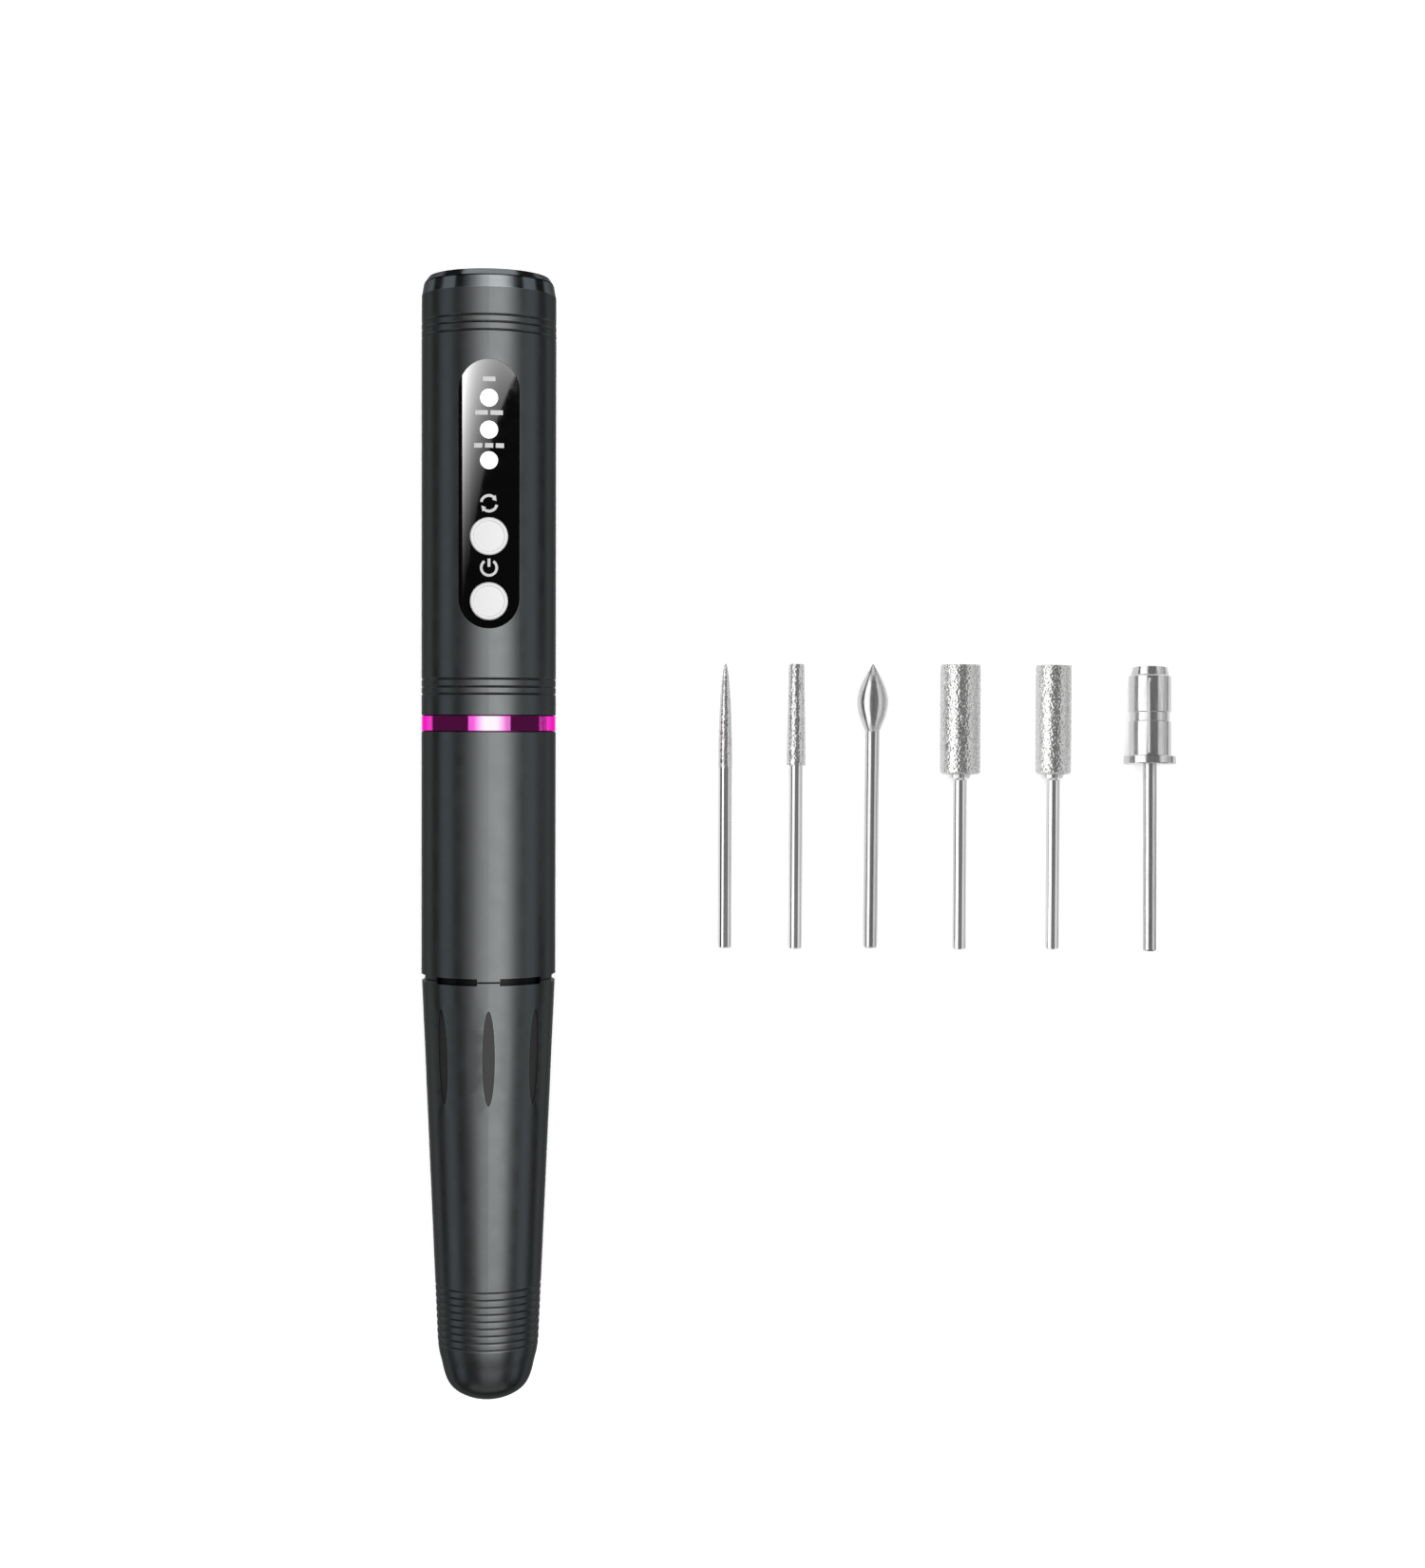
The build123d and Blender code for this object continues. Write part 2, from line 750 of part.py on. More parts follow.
def motor_screws():
    station = MOTOR_PLATE[0] - FIT
    screw = screw_y(station, MOTOR_SCREW_X, MOTOR_FACE + 2 * MOTOR_WALL - station)
    return joined(around(screw, 2))


def motor_can():
    inner_r = MOTOR_R - MOTOR_WALL
    can = turned(
        (MOTOR_BOSS_START, BUSH_R + FIT),
        (MOTOR_BOSS_START, MOTOR_BOSS_R),
        (MOTOR_FACE, MOTOR_BOSS_R),
        (MOTOR_FACE, MOTOR_R),
        (MOTOR_CAN_END, MOTOR_R),
        (MOTOR_CAN_END, inner_r),
        (MOTOR_FACE + MOTOR_WALL, inner_r),
        (MOTOR_FACE + MOTOR_WALL, BUSH_R + FIT),
    )
    return can - motor_holes(wider((MOTOR_FACE, MOTOR_FACE + MOTOR_WALL), 1))


def motor_end_bell():
    bell = tube(END_BELL, MOTOR_R, BUSH_R + FIT)
    bell += tube((END_BELL[0], END_BOSS_END), END_BOSS_R, BUSH_R + FIT)
    slot = block(wider(TERMINAL, RUN), wider(END_BELL, 1), wider((-1, 1), RUN))
    return bell - around(slot, 2)


def motor_bushes():
    front = tube((MOTOR_BOSS_START + RUN, MOTOR_FACE + FRONT_BUSH_REACH), BUSH_R, SHAFT_R + RUN)
    rear = tube((END_BELL[0] + RUN, END_BOSS_END - RUN), BUSH_R, SHAFT_R + RUN)
    return joined([front, rear])


def motor_shaft():
    return tube(SHAFT, SHAFT_R)


def motor_magnets():
    return joined(around(sector(MAGNETS, MAGNET_R[1], MAGNET_R[0], 90, MAGNET_SPREAD), 2))


def rotor_core():
    core = tube(CORE, CORE_HUB_R, SHAFT_R + FIT)
    shoe = sector(CORE, CORE_R, CORE_R - POLE_SHOE, 0, POLE_SPREAD)
    spoke = block((-SPOKE_HALF, SPOKE_HALF), CORE, (CORE_HUB_R - SPOKE_OVERLAP, CORE_R - POLE_SHOE + SPOKE_OVERLAP))
    return core + around(spoke + shoe, POLES)


def rotor_windings():
    coil = block((-COIL_HALF, COIL_HALF), wider(CORE, COIL_OVERHANG), COIL)
    half = SPOKE_HALF + FIT
    coil -= block((-half, half), wider(CORE, FIT), (0, CORE_R))
    return joined(around(coil, POLES))


def commutator():
    half = COLLET_SLIT / 2
    slit = block((-half, half), wider(COMMUTATOR, 1), (COMMUTATOR_R - COLLET_SLIT, COMMUTATOR_R + 1))
    return tube(COMMUTATOR, COMMUTATOR_R, SHAFT_R + FIT) - around(slit, POLES)


def motor_brushes():
    brush = block((COMMUTATOR_R + RUN, BRUSH_OUTER), BRUSH, (-BRUSH_HALF, BRUSH_HALF))
    return joined(around(brush, 2))


def motor_terminals():
    return joined(around(block(TERMINAL, (BRUSH[0], TERMINAL_END), (-TERMINAL_HALF, TERMINAL_HALF)), 2))


def motor_sleeve():
    return tube(SLEEVE, MOTOR_BORE_R - FIT, MOTOR_R + FIT)


# Control panel


def panel_lens():
    panel = wider((PANEL_START, PANEL_END), -RUN)
    shell = tube(wider(panel, 1), PANEL_TOP_R, PANEL_FLOOR_R + FIT)
    lens = shell & stadium(panel, PANEL_WIDTH - 2 * RUN, 0, TUBE_R + 1)
    button_holes = [post(y, 0, TUBE_R + 1, BUTTON_R + RUN) for y in (POWER_BUTTON, DIRECTION_BUTTON)]
    light_holes = [post(y, 0, TUBE_R + 1, LIGHT_R + FIT) for y in LIGHTS]
    return lens - button_holes - light_holes


def button(station):
    """A push button: a rim round a shallow dome, a flange that stays under the lens and a stem."""
    low, high = BUTTON_FLANGE
    edge_low, edge_high = BUTTON_EDGE
    rim_r = BUTTON_R - BUTTON_EDGE_BEVEL
    inner_r = rim_r - BUTTON_RIM
    dish_r = inner_r - BUTTON_DISH
    dish = edge_high - BUTTON_DISH
    sides = Polyline(
        (0, BUTTON_CROWN),
        (0, BUTTON_STEM_END),
        (BUTTON_STEM_R, BUTTON_STEM_END),
        (BUTTON_STEM_R, low),
        (BUTTON_FLANGE_R, low),
        (BUTTON_FLANGE_R, high),
        (BUTTON_R, high),
        (BUTTON_R, edge_low),
        (rim_r, edge_high),
        (inner_r, edge_high),
        (dish_r, dish),
    )
    rise = BUTTON_CROWN - dish
    dome_r = (dish_r**2 + rise**2) / (2 * rise)
    halfway = BUTTON_CROWN - dome_r + math.sqrt(dome_r**2 - (dish_r / 2) ** 2)
    dome = ThreePointArc((dish_r, dish), (dish_r / 2, halfway), (0, BUTTON_CROWN))
    return Pos(0, station, 0) * revolve(Plane.XZ * make_face(sides + dome), Axis.Z)


def power_button():
    return button(POWER_BUTTON)


def direction_button():
    return button(DIRECTION_BUTTON)


def light_pipes():
    pipes = []
    for station in LIGHTS:
        pipe = post(station, LIGHT_BASE, TUBE_R + 1, LIGHT_R)
        pipe += post(station, LIGHT_BASE, LIGHT_SHOULDER_TOP, LIGHT_SHOULDER_R)
        pipes.append(pipe & tube((station - 2, station + 2), PANEL_TOP_R))
    return joined(pipes)


def status_leds():
    half, short = LED_HALF
    height = (BOARD_Z[1] + FIT, LIGHT_BASE - FIT)
    return joined([block((-half, half), (y - short, y + short), height) for y in LIGHTS])


def switches():
    bodies = []
    for station in (POWER_BUTTON, DIRECTION_BUTTON):
        side = (station - SWITCH_HALF, station + SWITCH_HALF)
        body = block((-SWITCH_HALF, SWITCH_HALF), side, (BOARD_Z[1] + FIT, SWITCH_TOP))
        bodies.append(body - post(station, SWITCH_WELL, TUBE_R, BUTTON_STEM_R + RUN))
    return joined(bodies)


def control_board():
    board = block((-BOARD_HALF, BOARD_HALF), BOARD, BOARD_Z)
    return board - [post(y, 0, TUBE_R, SCREW_R + FIT) for y in BOARD_SCREWS]


def board_screws():
    screws = []
    seat = BOARD_Z[1] + FIT
    for station in BOARD_SCREWS:
        head = post(station, seat, seat + SCREW_HEAD, SCREW_HEAD_R)
        socket = post(station, seat + SCREW_HEAD / 2, seat + 2 * SCREW_HEAD, SCREW_R)
        screws.append(head - socket + post(station, seat - 4, seat, SCREW_R))
    return joined(screws)


# Battery bay and charging socket


def battery_carrier():
    body = tube(CARRIER, CARRIER_R) & block((-TUBE_R, TUBE_R), wider(CARRIER, 1), (CARRIER_LOW, CARRIER_TOP))
    body -= bar(BAY, BATTERY_R + 3 * RUN, z=BATTERY_Z)
    body -= block((-BATTERY_R + 2, BATTERY_R - 2), BAY, (0, TUBE_R))
    body += block((-BOARD_HALF, BOARD_HALF), (CARRIER[1] - 1, SHELF_END), (SHELF_Z, CHARGE_BOARD_Z[0] - FIT))
    return body - [post(y, 0, TUBE_R, SCREW_R + FIT) for y in BOARD_SCREWS]


def battery_cell():
    cell = bar(BATTERY, BATTERY_R, z=BATTERY_Z)
    return cell + bar((BATTERY[1] - 1, BATTERY_TIP), BATTERY_TIP_R, z=BATTERY_Z)


def battery_contacts():
    start = BAY[0] + CONTACT_WIRE_R + FIT
    height = BATTERY[0] - CONTACT_WIRE_R - FIT - start
    path = Helix(height / 2, height, BATTERY_TIP_R)
    section = Plane(path @ 0, z_dir=path % 0) * Circle(CONTACT_WIRE_R)
    spring = Pos(0, start, BATTERY_Z) * Rot(-90, 0, 0) * sweep(section, path, is_frenet=True)
    plate = bar((BATTERY_TIP + FIT, BAY[1] - FIT), 2 * BATTERY_TIP_R, z=BATTERY_Z)
    return joined([spring, plate])


def wire(points, start_way, end_way):
    """A wire along a smooth path."""
    path = Spline(*points, tangents=[start_way, end_way])
    return sweep(Plane(path @ 0, z_dir=path % 0) * Circle(WIRE_R), path)


def wiring():
    wires = []
    board_z = sum(BOARD_Z) / 2
    for side in (-1, 1):
        terminal = (side * sum(TERMINAL) / 2, TERMINAL_END + WIRE_R + RUN, 0)
        front = (side * 4, BOARD[0] - RUN, board_z)
        wires.append(wire([terminal, front], (0, 0, 1), (0, 1, 0)))
        charger = (side * 2, CHARGE_BOARD[0] + WIRE_R + RUN, CHARGE_BOARD_Z[1] + RUN)
        bend = (side * 2, CHARGE_BOARD[0] + WIRE_R + RUN, board_z / 2)
        rear = (side * 2, BOARD[1] + RUN, board_z)
        wires.append(wire([charger, bend, rear], (0, 0, 1), (0, -1, 0)))
    return joined(wires)


def charge_board():
    return block((-BOARD_HALF, BOARD_HALF), CHARGE_BOARD, CHARGE_BOARD_Z)


def socket_outline(span, margin):
    """The charging socket's round-ended outline as a bar along Y."""
    start, end = span
    outline = SlotOverall(SOCKET_WIDTH + 2 * margin, SOCKET_HEIGHT + 2 * margin)
    return Pos(0, end, 0) * extrude(Plane.XZ * outline, end - start)


def charge_socket():
    back = SOCKET[0] + 2 * SOCKET_WALL
    shell = socket_outline(SOCKET, 0) - socket_outline((back, SOCKET[1] + 1), -SOCKET_WALL)
    tongue_z = SOCKET_WALL + RUN
    return shell + block((-TONGUE_HALF, TONGUE_HALF), (SOCKET[0], TONGUE_END), (-tongue_z, tongue_z))


# Loose bits. Each is turned about Z with its tip at z = 0 and its shank downwards, then laid on the table.


def spun(profile):
    """A bit's solid, standing on its axis with the tip at the origin."""
    return revolve(Plane.XZ * make_face(profile), Axis.Z)


def laid(shape, name, contact, outer_contact):
    """A bit laid on the table; it rests on the two (depth below the tip, radius) places it touches."""
    depth, radius = contact
    outer_depth, outer_radius = outer_contact
    tilt = math.degrees(math.atan2(radius - outer_radius, outer_depth - depth))
    height = radius * math.cos(math.radians(tilt)) + depth * math.sin(math.radians(tilt))
    turn = BIT_TURN.get(name, 0)
    return Pos(BIT_X[name], BIT_TIP, TABLE + height) * Rot(0, 0, turn) * Rot(tilt - 90, 0, 0) * shape


def shank_end(name):
    """The last corners of a bit's outline: a broken edge and the end's centre."""
    length = BIT_LENGTHS[name]
    return [(SHANK_R, 2 * EDGE_BEVEL - length), (SHANK_R - 2 * EDGE_BEVEL, -length), (0, -length)]


def bit_needle():
    side = Spline(
        (NEEDLE_TIP_R, 0),
        (NEEDLE_POINT[1], -NEEDLE_POINT[0]),
        (NEEDLE_MIDDLE[1], -NEEDLE_MIDDLE[0]),
        (SHANK_R, -NEEDLE_TAPER),
        tangents=[(NEEDLE_SLOPE, -1), (0, -1)],
    )
    rest = Polyline((SHANK_R, -NEEDLE_TAPER), *shank_end("needle"), (0, 0), (NEEDLE_TIP_R, 0))
    return laid(spun(side + rest), "needle", (NEEDLE_TAPER, SHANK_R), (BIT_LENGTHS["needle"], SHANK_R))


def bit_taper():
    profile = Polyline(
        (0, 0),
        (TAPER_TOP_R - EDGE_BEVEL, 0),
        (TAPER_TOP_R, -EDGE_BEVEL),
        (TAPER_BOTTOM_R, -TAPER_HEAD),
        (SHANK_R, -TAPER_HEAD - EDGE_BEVEL),
        *shank_end("taper"),
        (0, 0),
    )
    return laid(spun(profile), "taper", (TAPER_HEAD, TAPER_BOTTOM_R), (BIT_LENGTHS["taper"], SHANK_R))


def bit_flame():
    side = Spline(
        (NEEDLE_TIP_R, 0),
        (FLAME_SHOULDER[1], -FLAME_SHOULDER[0]),
        (FLAME_R, -FLAME_WIDE),
        (FLAME_FOOT[1], -FLAME_FOOT[0]),
        (SHANK_R, -FLAME_HEAD),
        tangents=[(FLAME_TOP_SLOPE, -1), (-FLAME_FOOT_SLOPE, -1)],
    )
    rest = Polyline((SHANK_R, -FLAME_HEAD), *shank_end("flame"), (0, 0), (NEEDLE_TIP_R, 0))
    return laid(spun(side + rest), "flame", (FLAME_WIDE, FLAME_R), (BIT_LENGTHS["flame"], SHANK_R))


def barrel_bit(name, radius):
    """A cylinder burr: the head's edges are broken and a short collar joins it to the shank."""
    collar_end = BARREL_HEAD + BARREL_COLLAR
    profile = Polyline(
        (0, 0),
        (radius - EDGE_BEVEL, 0),
        (radius, -EDGE_BEVEL),
        (radius, BARREL_BEVEL - BARREL_HEAD),
        (radius - BARREL_BEVEL, -BARREL_HEAD),
        (BARREL_COLLAR_R, -BARREL_HEAD),
        (BARREL_COLLAR_R, -collar_end + BARREL_BEVEL),
        (SHANK_R, -collar_end),
        *shank_end(name),
        (0, 0),
    )
    return laid(spun(profile), name, (0, radius), (BARREL_HEAD, radius))


def bit_barrel_large():
    return barrel_bit("large", LARGE_R)


def bit_barrel_small():
    return barrel_bit("small", SMALL_R)


def bit_band_mandrel():
    waist_start, waist_end = BAND_WAIST
    rim, rim_r = BAND_RIM
    nose, nose_r = BAND_NOSE
    crown = ThreePointArc((0, 0), (rim_r / 2, -rim / 4), (rim_r, -rim))
    sides = Polyline(
        (rim_r, -rim),
        (nose_r, -nose),
        (BAND_R, -BAND_TOP),
        (BAND_R, -waist_start),
        (BAND_WAIST_R, -waist_start - EDGE_BEVEL),
        (BAND_WAIST_R, -waist_end + EDGE_BEVEL),
        (BAND_R, -waist_end),
        (BAND_R, -BAND_END),
        (FLANGE_R - EDGE_BEVEL, -BAND_END),
        (FLANGE_R, -BAND_END - EDGE_BEVEL),
        (FLANGE_R, -FLANGE_END + EDGE_BEVEL),
        (FLANGE_R - EDGE_BEVEL, -FLANGE_END),
        (SHANK_R, -FLANGE_END),
        *shank_end("mandrel"),
        (0, 0),
    )
    mandrel = spun(crown + sides)
    slit_start, slit_end = BAND_SLIT
    half = BAND_SLIT_HALF
    slit = Rot(0, 0, BAND_SLIT_ROLL) * block((-half, half), (-TUBE_R, TUBE_R), (-slit_end, -slit_start))
    return laid(mandrel - slit, "mandrel", (BAND_TOP, BAND_R), (BAND_END, FLANGE_R))


PIECES = (
    protective_cap,
    grip_inlays,
    motor_housing,
    accent_ring,
    control_housing,
    tail_cap,
    front_housing,
    nose_ring,
    seal_rings,
    bearing_outer_races,
    bearing_inner_races,
    bearing_balls,
    bearing_clip,
    lock_ring_clip,
    spindle,
    collet,
    cross_pin,
    thrust_ring,
    closing_spring,
    release_collar,
    cam_pins,
    lock_ring,
    driven_coupling,
    drive_coupling,
    coupling_spider,
    motor_plate,
    motor_screws,
    motor_can,
    motor_end_bell,
    motor_bushes,
    motor_shaft,
    motor_magnets,
    rotor_core,
    rotor_windings,
    commutator,
    motor_brushes,
    motor_terminals,
    motor_sleeve,
    panel_lens,
    power_button,
    direction_button,
    light_pipes,
    status_leds,
    switches,
    control_board,
    board_screws,
    battery_carrier,
    battery_cell,
    battery_contacts,
    wiring,
    charge_board,
    charge_socket,
    bit_needle,
    bit_taper,
    bit_flame,
    bit_barrel_large,
    bit_barrel_small,
    bit_band_mandrel,
)

os.makedirs("parts", exist_ok=True)
for piece in PIECES:
    export_step(piece(), f"parts/{piece.__name__}.step")
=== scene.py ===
import json
import math

import bmesh
import bpy
from mathutils import Matrix, Vector, noise

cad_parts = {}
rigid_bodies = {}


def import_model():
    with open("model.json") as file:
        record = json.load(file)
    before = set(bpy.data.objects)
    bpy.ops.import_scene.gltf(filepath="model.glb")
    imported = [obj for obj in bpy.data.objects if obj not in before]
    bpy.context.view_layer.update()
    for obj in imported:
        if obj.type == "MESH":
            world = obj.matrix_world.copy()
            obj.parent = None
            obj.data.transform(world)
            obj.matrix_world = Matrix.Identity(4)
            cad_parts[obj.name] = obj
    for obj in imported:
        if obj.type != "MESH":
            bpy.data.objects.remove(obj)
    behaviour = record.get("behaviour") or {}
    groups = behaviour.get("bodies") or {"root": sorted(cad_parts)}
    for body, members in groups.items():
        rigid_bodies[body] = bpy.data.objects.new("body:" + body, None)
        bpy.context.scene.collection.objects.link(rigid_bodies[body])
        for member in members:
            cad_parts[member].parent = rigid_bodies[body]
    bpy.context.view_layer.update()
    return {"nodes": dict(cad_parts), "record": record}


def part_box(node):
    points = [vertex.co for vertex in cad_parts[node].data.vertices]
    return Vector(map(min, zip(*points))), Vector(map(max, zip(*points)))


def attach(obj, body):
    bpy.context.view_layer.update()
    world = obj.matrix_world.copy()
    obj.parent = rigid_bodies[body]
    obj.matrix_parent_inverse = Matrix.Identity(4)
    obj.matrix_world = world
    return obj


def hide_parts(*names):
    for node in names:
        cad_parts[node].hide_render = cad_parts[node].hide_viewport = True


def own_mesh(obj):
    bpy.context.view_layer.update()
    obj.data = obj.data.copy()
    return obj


for leftover in list(bpy.data.objects):
    bpy.data.objects.remove(leftover)
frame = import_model()
nodes = frame["nodes"]

MM = 0.001

# Places taken from the frame
tube_low, tube_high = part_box("control_housing")
ring_low, ring_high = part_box("accent_ring")
lens_low, lens_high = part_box("panel_lens")
TUBE_R = tube_high.x
TABLE_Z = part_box("motor_housing")[0].z
RING_Y = (ring_low.y + ring_high.y) / 2
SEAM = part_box("motor_housing")[0].y
SEAM_HALF = 0.6 * MM
SEAM_R = TUBE_R - 0.35 * MM

# Camera: straight above the accent ring, turned so that the pen stands left of the middle
CAMERA_HEIGHT = 0.380
LENS = 55.27
CAMERA_TURN = 5.314
CAMERA_NOD = 1.425
CAMERA_ROLL = 0.19

# The loose bits, in millimetres from their tips, as in the CAD
SHANK_R = 1.175
SHANK_BREAK = 0.24
NEEDLE_HEAD = 17.0
NEEDLE_TIP_R = 0.12
NEEDLE_FULLNESS = 0.52
NEEDLE_STEPS = 40
TAPER_HEAD = 16.5
TAPER_STEP = 0.15
BARREL_HEAD = 17.9
BARREL_R = {"bit_barrel_large": 3.3, "bit_barrel_small": 2.92}
BARREL_ROUND = 0.2
BARREL_MIDDLE = 0.06
BARREL_BREAK = 0.35
COLLAR_R = 1.7
BIT_LENGTHS = {"bit_needle": 46.3, "bit_taper": 46.5, "bit_barrel_large": 46.5, "bit_barrel_small": 46.6}
BIT_BODIES = {
    "bit_needle": "needle_bit",
    "bit_taper": "taper_bit",
    "bit_barrel_large": "large_barrel_bit",
    "bit_barrel_small": "small_barrel_bit",
}

# The grit on their heads: mesh step and deepest hollow in millimetres, the finer bits' shares of that depth,
# and how many coarse and fine grains there are to a millimetre
GRIT_STEP = 0.085
GRIT_DEPTH = 0.1
NEEDLE_GRIT = 0.45
TAPER_GRIT = 0.7
COARSE_GRAIN = 3.3
FINE_GRAIN = 7.5

# The closing spring: its wire and turns as in the CAD, and the mesh's steps to a turn and sides round the
# wire
SPRING_WIRE_R = 0.3 * MM
SPRING_TURNS = 5
COIL_STEPS = 48
WIRE_SIDES = 12

# The marks on the panel, in millimetres: each level's place along the pen and bar width, the signs' places
# and inner radius. The ink's half thickness and the lens's radius are in metres.
LEVEL_BARS = ((126.0, 1.9), (120.9, 1.9), (115.9, 1.25))
BAR_GAP = 0.4
BAR_HEIGHT = 0.7
DIRECTION_SIGN = 107.1
POWER_SIGN = 97.3
SIGN_INNER = 0.98
INK = 0.015 * MM
MARK_R = lens_high.z

# The studio: how bright its black flags are, how high the overhead lamps hang, where the bits' middle is,
# and half the floor's width
FLAG_LEVEL = 0.07
BOX_HEIGHT = 0.6
BITS_X = 0.075
BITS_MIDDLE = Vector((BITS_X, 0.06, 0))
FLOOR_HALF = 1.1

# The sheet that shows in the panel's lens: its corner, size and edge, and how its light rises
SHEET_CORNER = (0.203, 0.1705)
SHEET_SIZE = (0.642, 0.1)
SHEET_RISE = 0.25
SHEET_EDGE = (-0.272, -0.0365, 0)
SHEET_START = 0.18
SHEET_RADIANCE = 50
SHEET_SLOPE = (-1.25, 16.2, 0)
SHEET_OFFSET = 0.595 - 16.2 * 0.163
SHEET_POWER = 2.2


# Small helpers


def link(thing):
    bpy.context.scene.collection.objects.link(thing)
    return thing


class Surface:
    """A node material: one principled shader, with helpers that add the nodes that drive it."""

    def __init__(self, name, color, metallic=0.0, roughness=0.5, **more):
        self.material = bpy.data.materials.new(name)
        self.material.use_nodes = True
        self.tree = self.material.node_tree
        self.shader = self.tree.nodes["Principled BSDF"]
        self.place = self.add("ShaderNodeTexCoord").outputs["Object"]
        self.set("Base Color", (*color, 1))
        self.set("Metallic", metallic)
        self.set("Roughness", roughness)
        for key, value in more.items():
            self.set(key.replace("_", " ").title().replace("Ior", "IOR"), value)

    def add(self, kind, **settings):
        node = self.tree.nodes.new(kind)
        for key, value in settings.items():
            setattr(node, key, value)
        return node

    def join(self, output, target):
        self.tree.links.new(output, target)

    def set(self, name, value):
        self.shader.inputs[name].default_value = value

    def scaled(self, scale):
        """The piece's coordinates times scale, one number or three."""
        mapping = self.add("ShaderNodeMapping")
        mapping.inputs["Scale"].default_value = scale if isinstance(scale, tuple) else (scale,) * 3
        self.join(self.place, mapping.inputs["Vector"])
        return mapping.outputs["Vector"]

    def noise(self, scale, detail=3.0):
        """Noise whose features are 1 / scale metres apart; scale is one number or three."""
        texture = self.add("ShaderNodeTexNoise")
        texture.inputs["Scale"].default_value = 1.0
        texture.inputs["Detail"].default_value = detail
        self.join(self.scaled(scale), texture.inputs["Vector"])
        return texture.outputs["Fac"]

    def spread(self, source, low, high, start=0.3, end=0.7):
        """source between start and end, mapped to low to high."""
        ranged = self.add("ShaderNodeMapRange")
        for name, value in (("From Min", start), ("From Max", end), ("To Min", low), ("To Max", high)):
            ranged.inputs[name].default_value = value
        self.join(source, ranged.inputs["Value"])
        return ranged.outputs["Result"]

    def drive(self, name, output):
        self.join(output, self.shader.inputs[name])
        return self

    def tint(self, factor, first, second):
        """The base colour runs from first to second with factor."""
        mix = self.add("ShaderNodeMix", data_type="RGBA")
        mix.inputs["A"].default_value = (*first, 1)
        mix.inputs["B"].default_value = (*second, 1)
        self.join(factor, mix.inputs["Factor"])
        self.join(mix.outputs["Result"], self.shader.inputs["Base Color"])
        return self

    def maths(self, operation, *values):
        """One sum: each value is a number or another node's output."""
        node = self.add("ShaderNodeMath", operation=operation)
        for socket, value in zip(node.inputs, values):
            if isinstance(value, (int, float)):
                socket.default_value = value
            else:
                self.join(value, socket)
        return node.outputs["Value"]

    def shade(self, mask, level):
        """Where mask is 1, the base colour is multiplied by level."""
        old = self.shader.inputs["Base Color"].links[0].from_socket
        scale = self.add("ShaderNodeVectorMath", operation="SCALE")
        self.join(old, scale.inputs[0])
        self.join(self.spread(mask, 1, level, 0, 1), scale.inputs["Scale"])
        self.join(scale.outputs["Vector"], self.shader.inputs["Base Color"])
        return self

    def bump(self, height, depth, strength=1.0):
        """Bump of the given depth in metres, from a height between 0 and 1."""
        bump = self.add("ShaderNodeBump")
        bump.inputs["Distance"].default_value = depth
        bump.inputs["Strength"].default_value = strength
        self.join(height, bump.inputs["Height"])
        self.join(bump.outputs["Normal"], self.shader.inputs["Normal"])
        return self

    def edges(self, radius):
        """About 1 on sharp edges within radius, 0 on flat places."""
        bevel = self.add("ShaderNodeBevel", samples=4)
        bevel.inputs["Radius"].default_value = radius
        geometry = self.add("ShaderNodeNewGeometry")
        dot = self.add("ShaderNodeVectorMath", operation="DOT_PRODUCT")
        self.join(bevel.outputs["Normal"], dot.inputs[0])
        self.join(geometry.outputs["Normal"], dot.inputs[1])
        return self.spread(dot.outputs["Value"], 1, 0, 0.80, 0.995)


# Materials of the casings


def painted_seam_shade(surface):
    """1 inside the six shallow slots where the nose cap meets the motor housing, 0 elsewhere: where shade is
    painted into the casing's colour.
    """
    split = surface.add("ShaderNodeSeparateXYZ")
    surface.join(surface.place, split.inputs["Vector"])
    x, y, z = (split.outputs[axis] for axis in "XYZ")
    offset = surface.maths("ABSOLUTE", surface.maths("SUBTRACT", y, SEAM))
    near = surface.maths("LESS_THAN", offset, SEAM_HALF)
    squares = [surface.maths("POWER", side, 2) for side in (x, z)]
    reach = surface.maths("SQRT", surface.maths("ADD", *squares))
    return surface.maths("MULTIPLY", near, surface.maths("LESS_THAN", reach, SEAM_R))


def anodised(name, color, edge, roughness):
    """Bead-blasted, dark anodised aluminium: fine grain, slight clouding, edges rubbed a little brighter, and
    painted shade that darkens the seam slots.
    """
    surface = Surface(name, color, 1.0, roughness, specular_tint=(0.35, 0.35, 0.35, 1))
    surface.tint(surface.edges(0.12 * MM), color, edge)
    # Painted shade: the base colour is darkened to 0.12 inside the seam slots, where shade falls.
    surface.shade(painted_seam_shade(surface), 0.12)
    surface.drive("Roughness", surface.spread(surface.noise(350), roughness - 0.03, roughness + 0.04))
    surface.bump(surface.noise(9000, 2.0), 0.004 * MM, 0.5)
    return surface.material


RING_COLOR = (0.90, 0.07, 0.58)


def mirror_ring():
    surface = Surface("magenta_mirror", RING_COLOR, 1.0, 0.05, specular_tint=(0.95, 0.30, 0.75, 1))
    surface.drive("Roughness", surface.spread(surface.noise(1200), 0.03, 0.09))
    return surface.material


def rubber(name, color, roughness=0.72, gloss=0.5):
    surface = Surface(name, color, 0.0, roughness, specular_ior_level=gloss)
    speckle = surface.noise(7000, 2.0)
    surface.tint(speckle, tuple(c * 0.85 for c in color), tuple(c * 1.15 for c in color))
    surface.bump(speckle, 0.01 * MM, 0.5)
    return surface.material


def panel_glass():
    surface = Surface("panel_gloss", (0.0003, 0.0003, 0.0003), 0.0, 0.03, specular_ior_level=0.25)
    surface.drive("Roughness", surface.spread(surface.noise(500), 0.02, 0.06))
    return surface.material


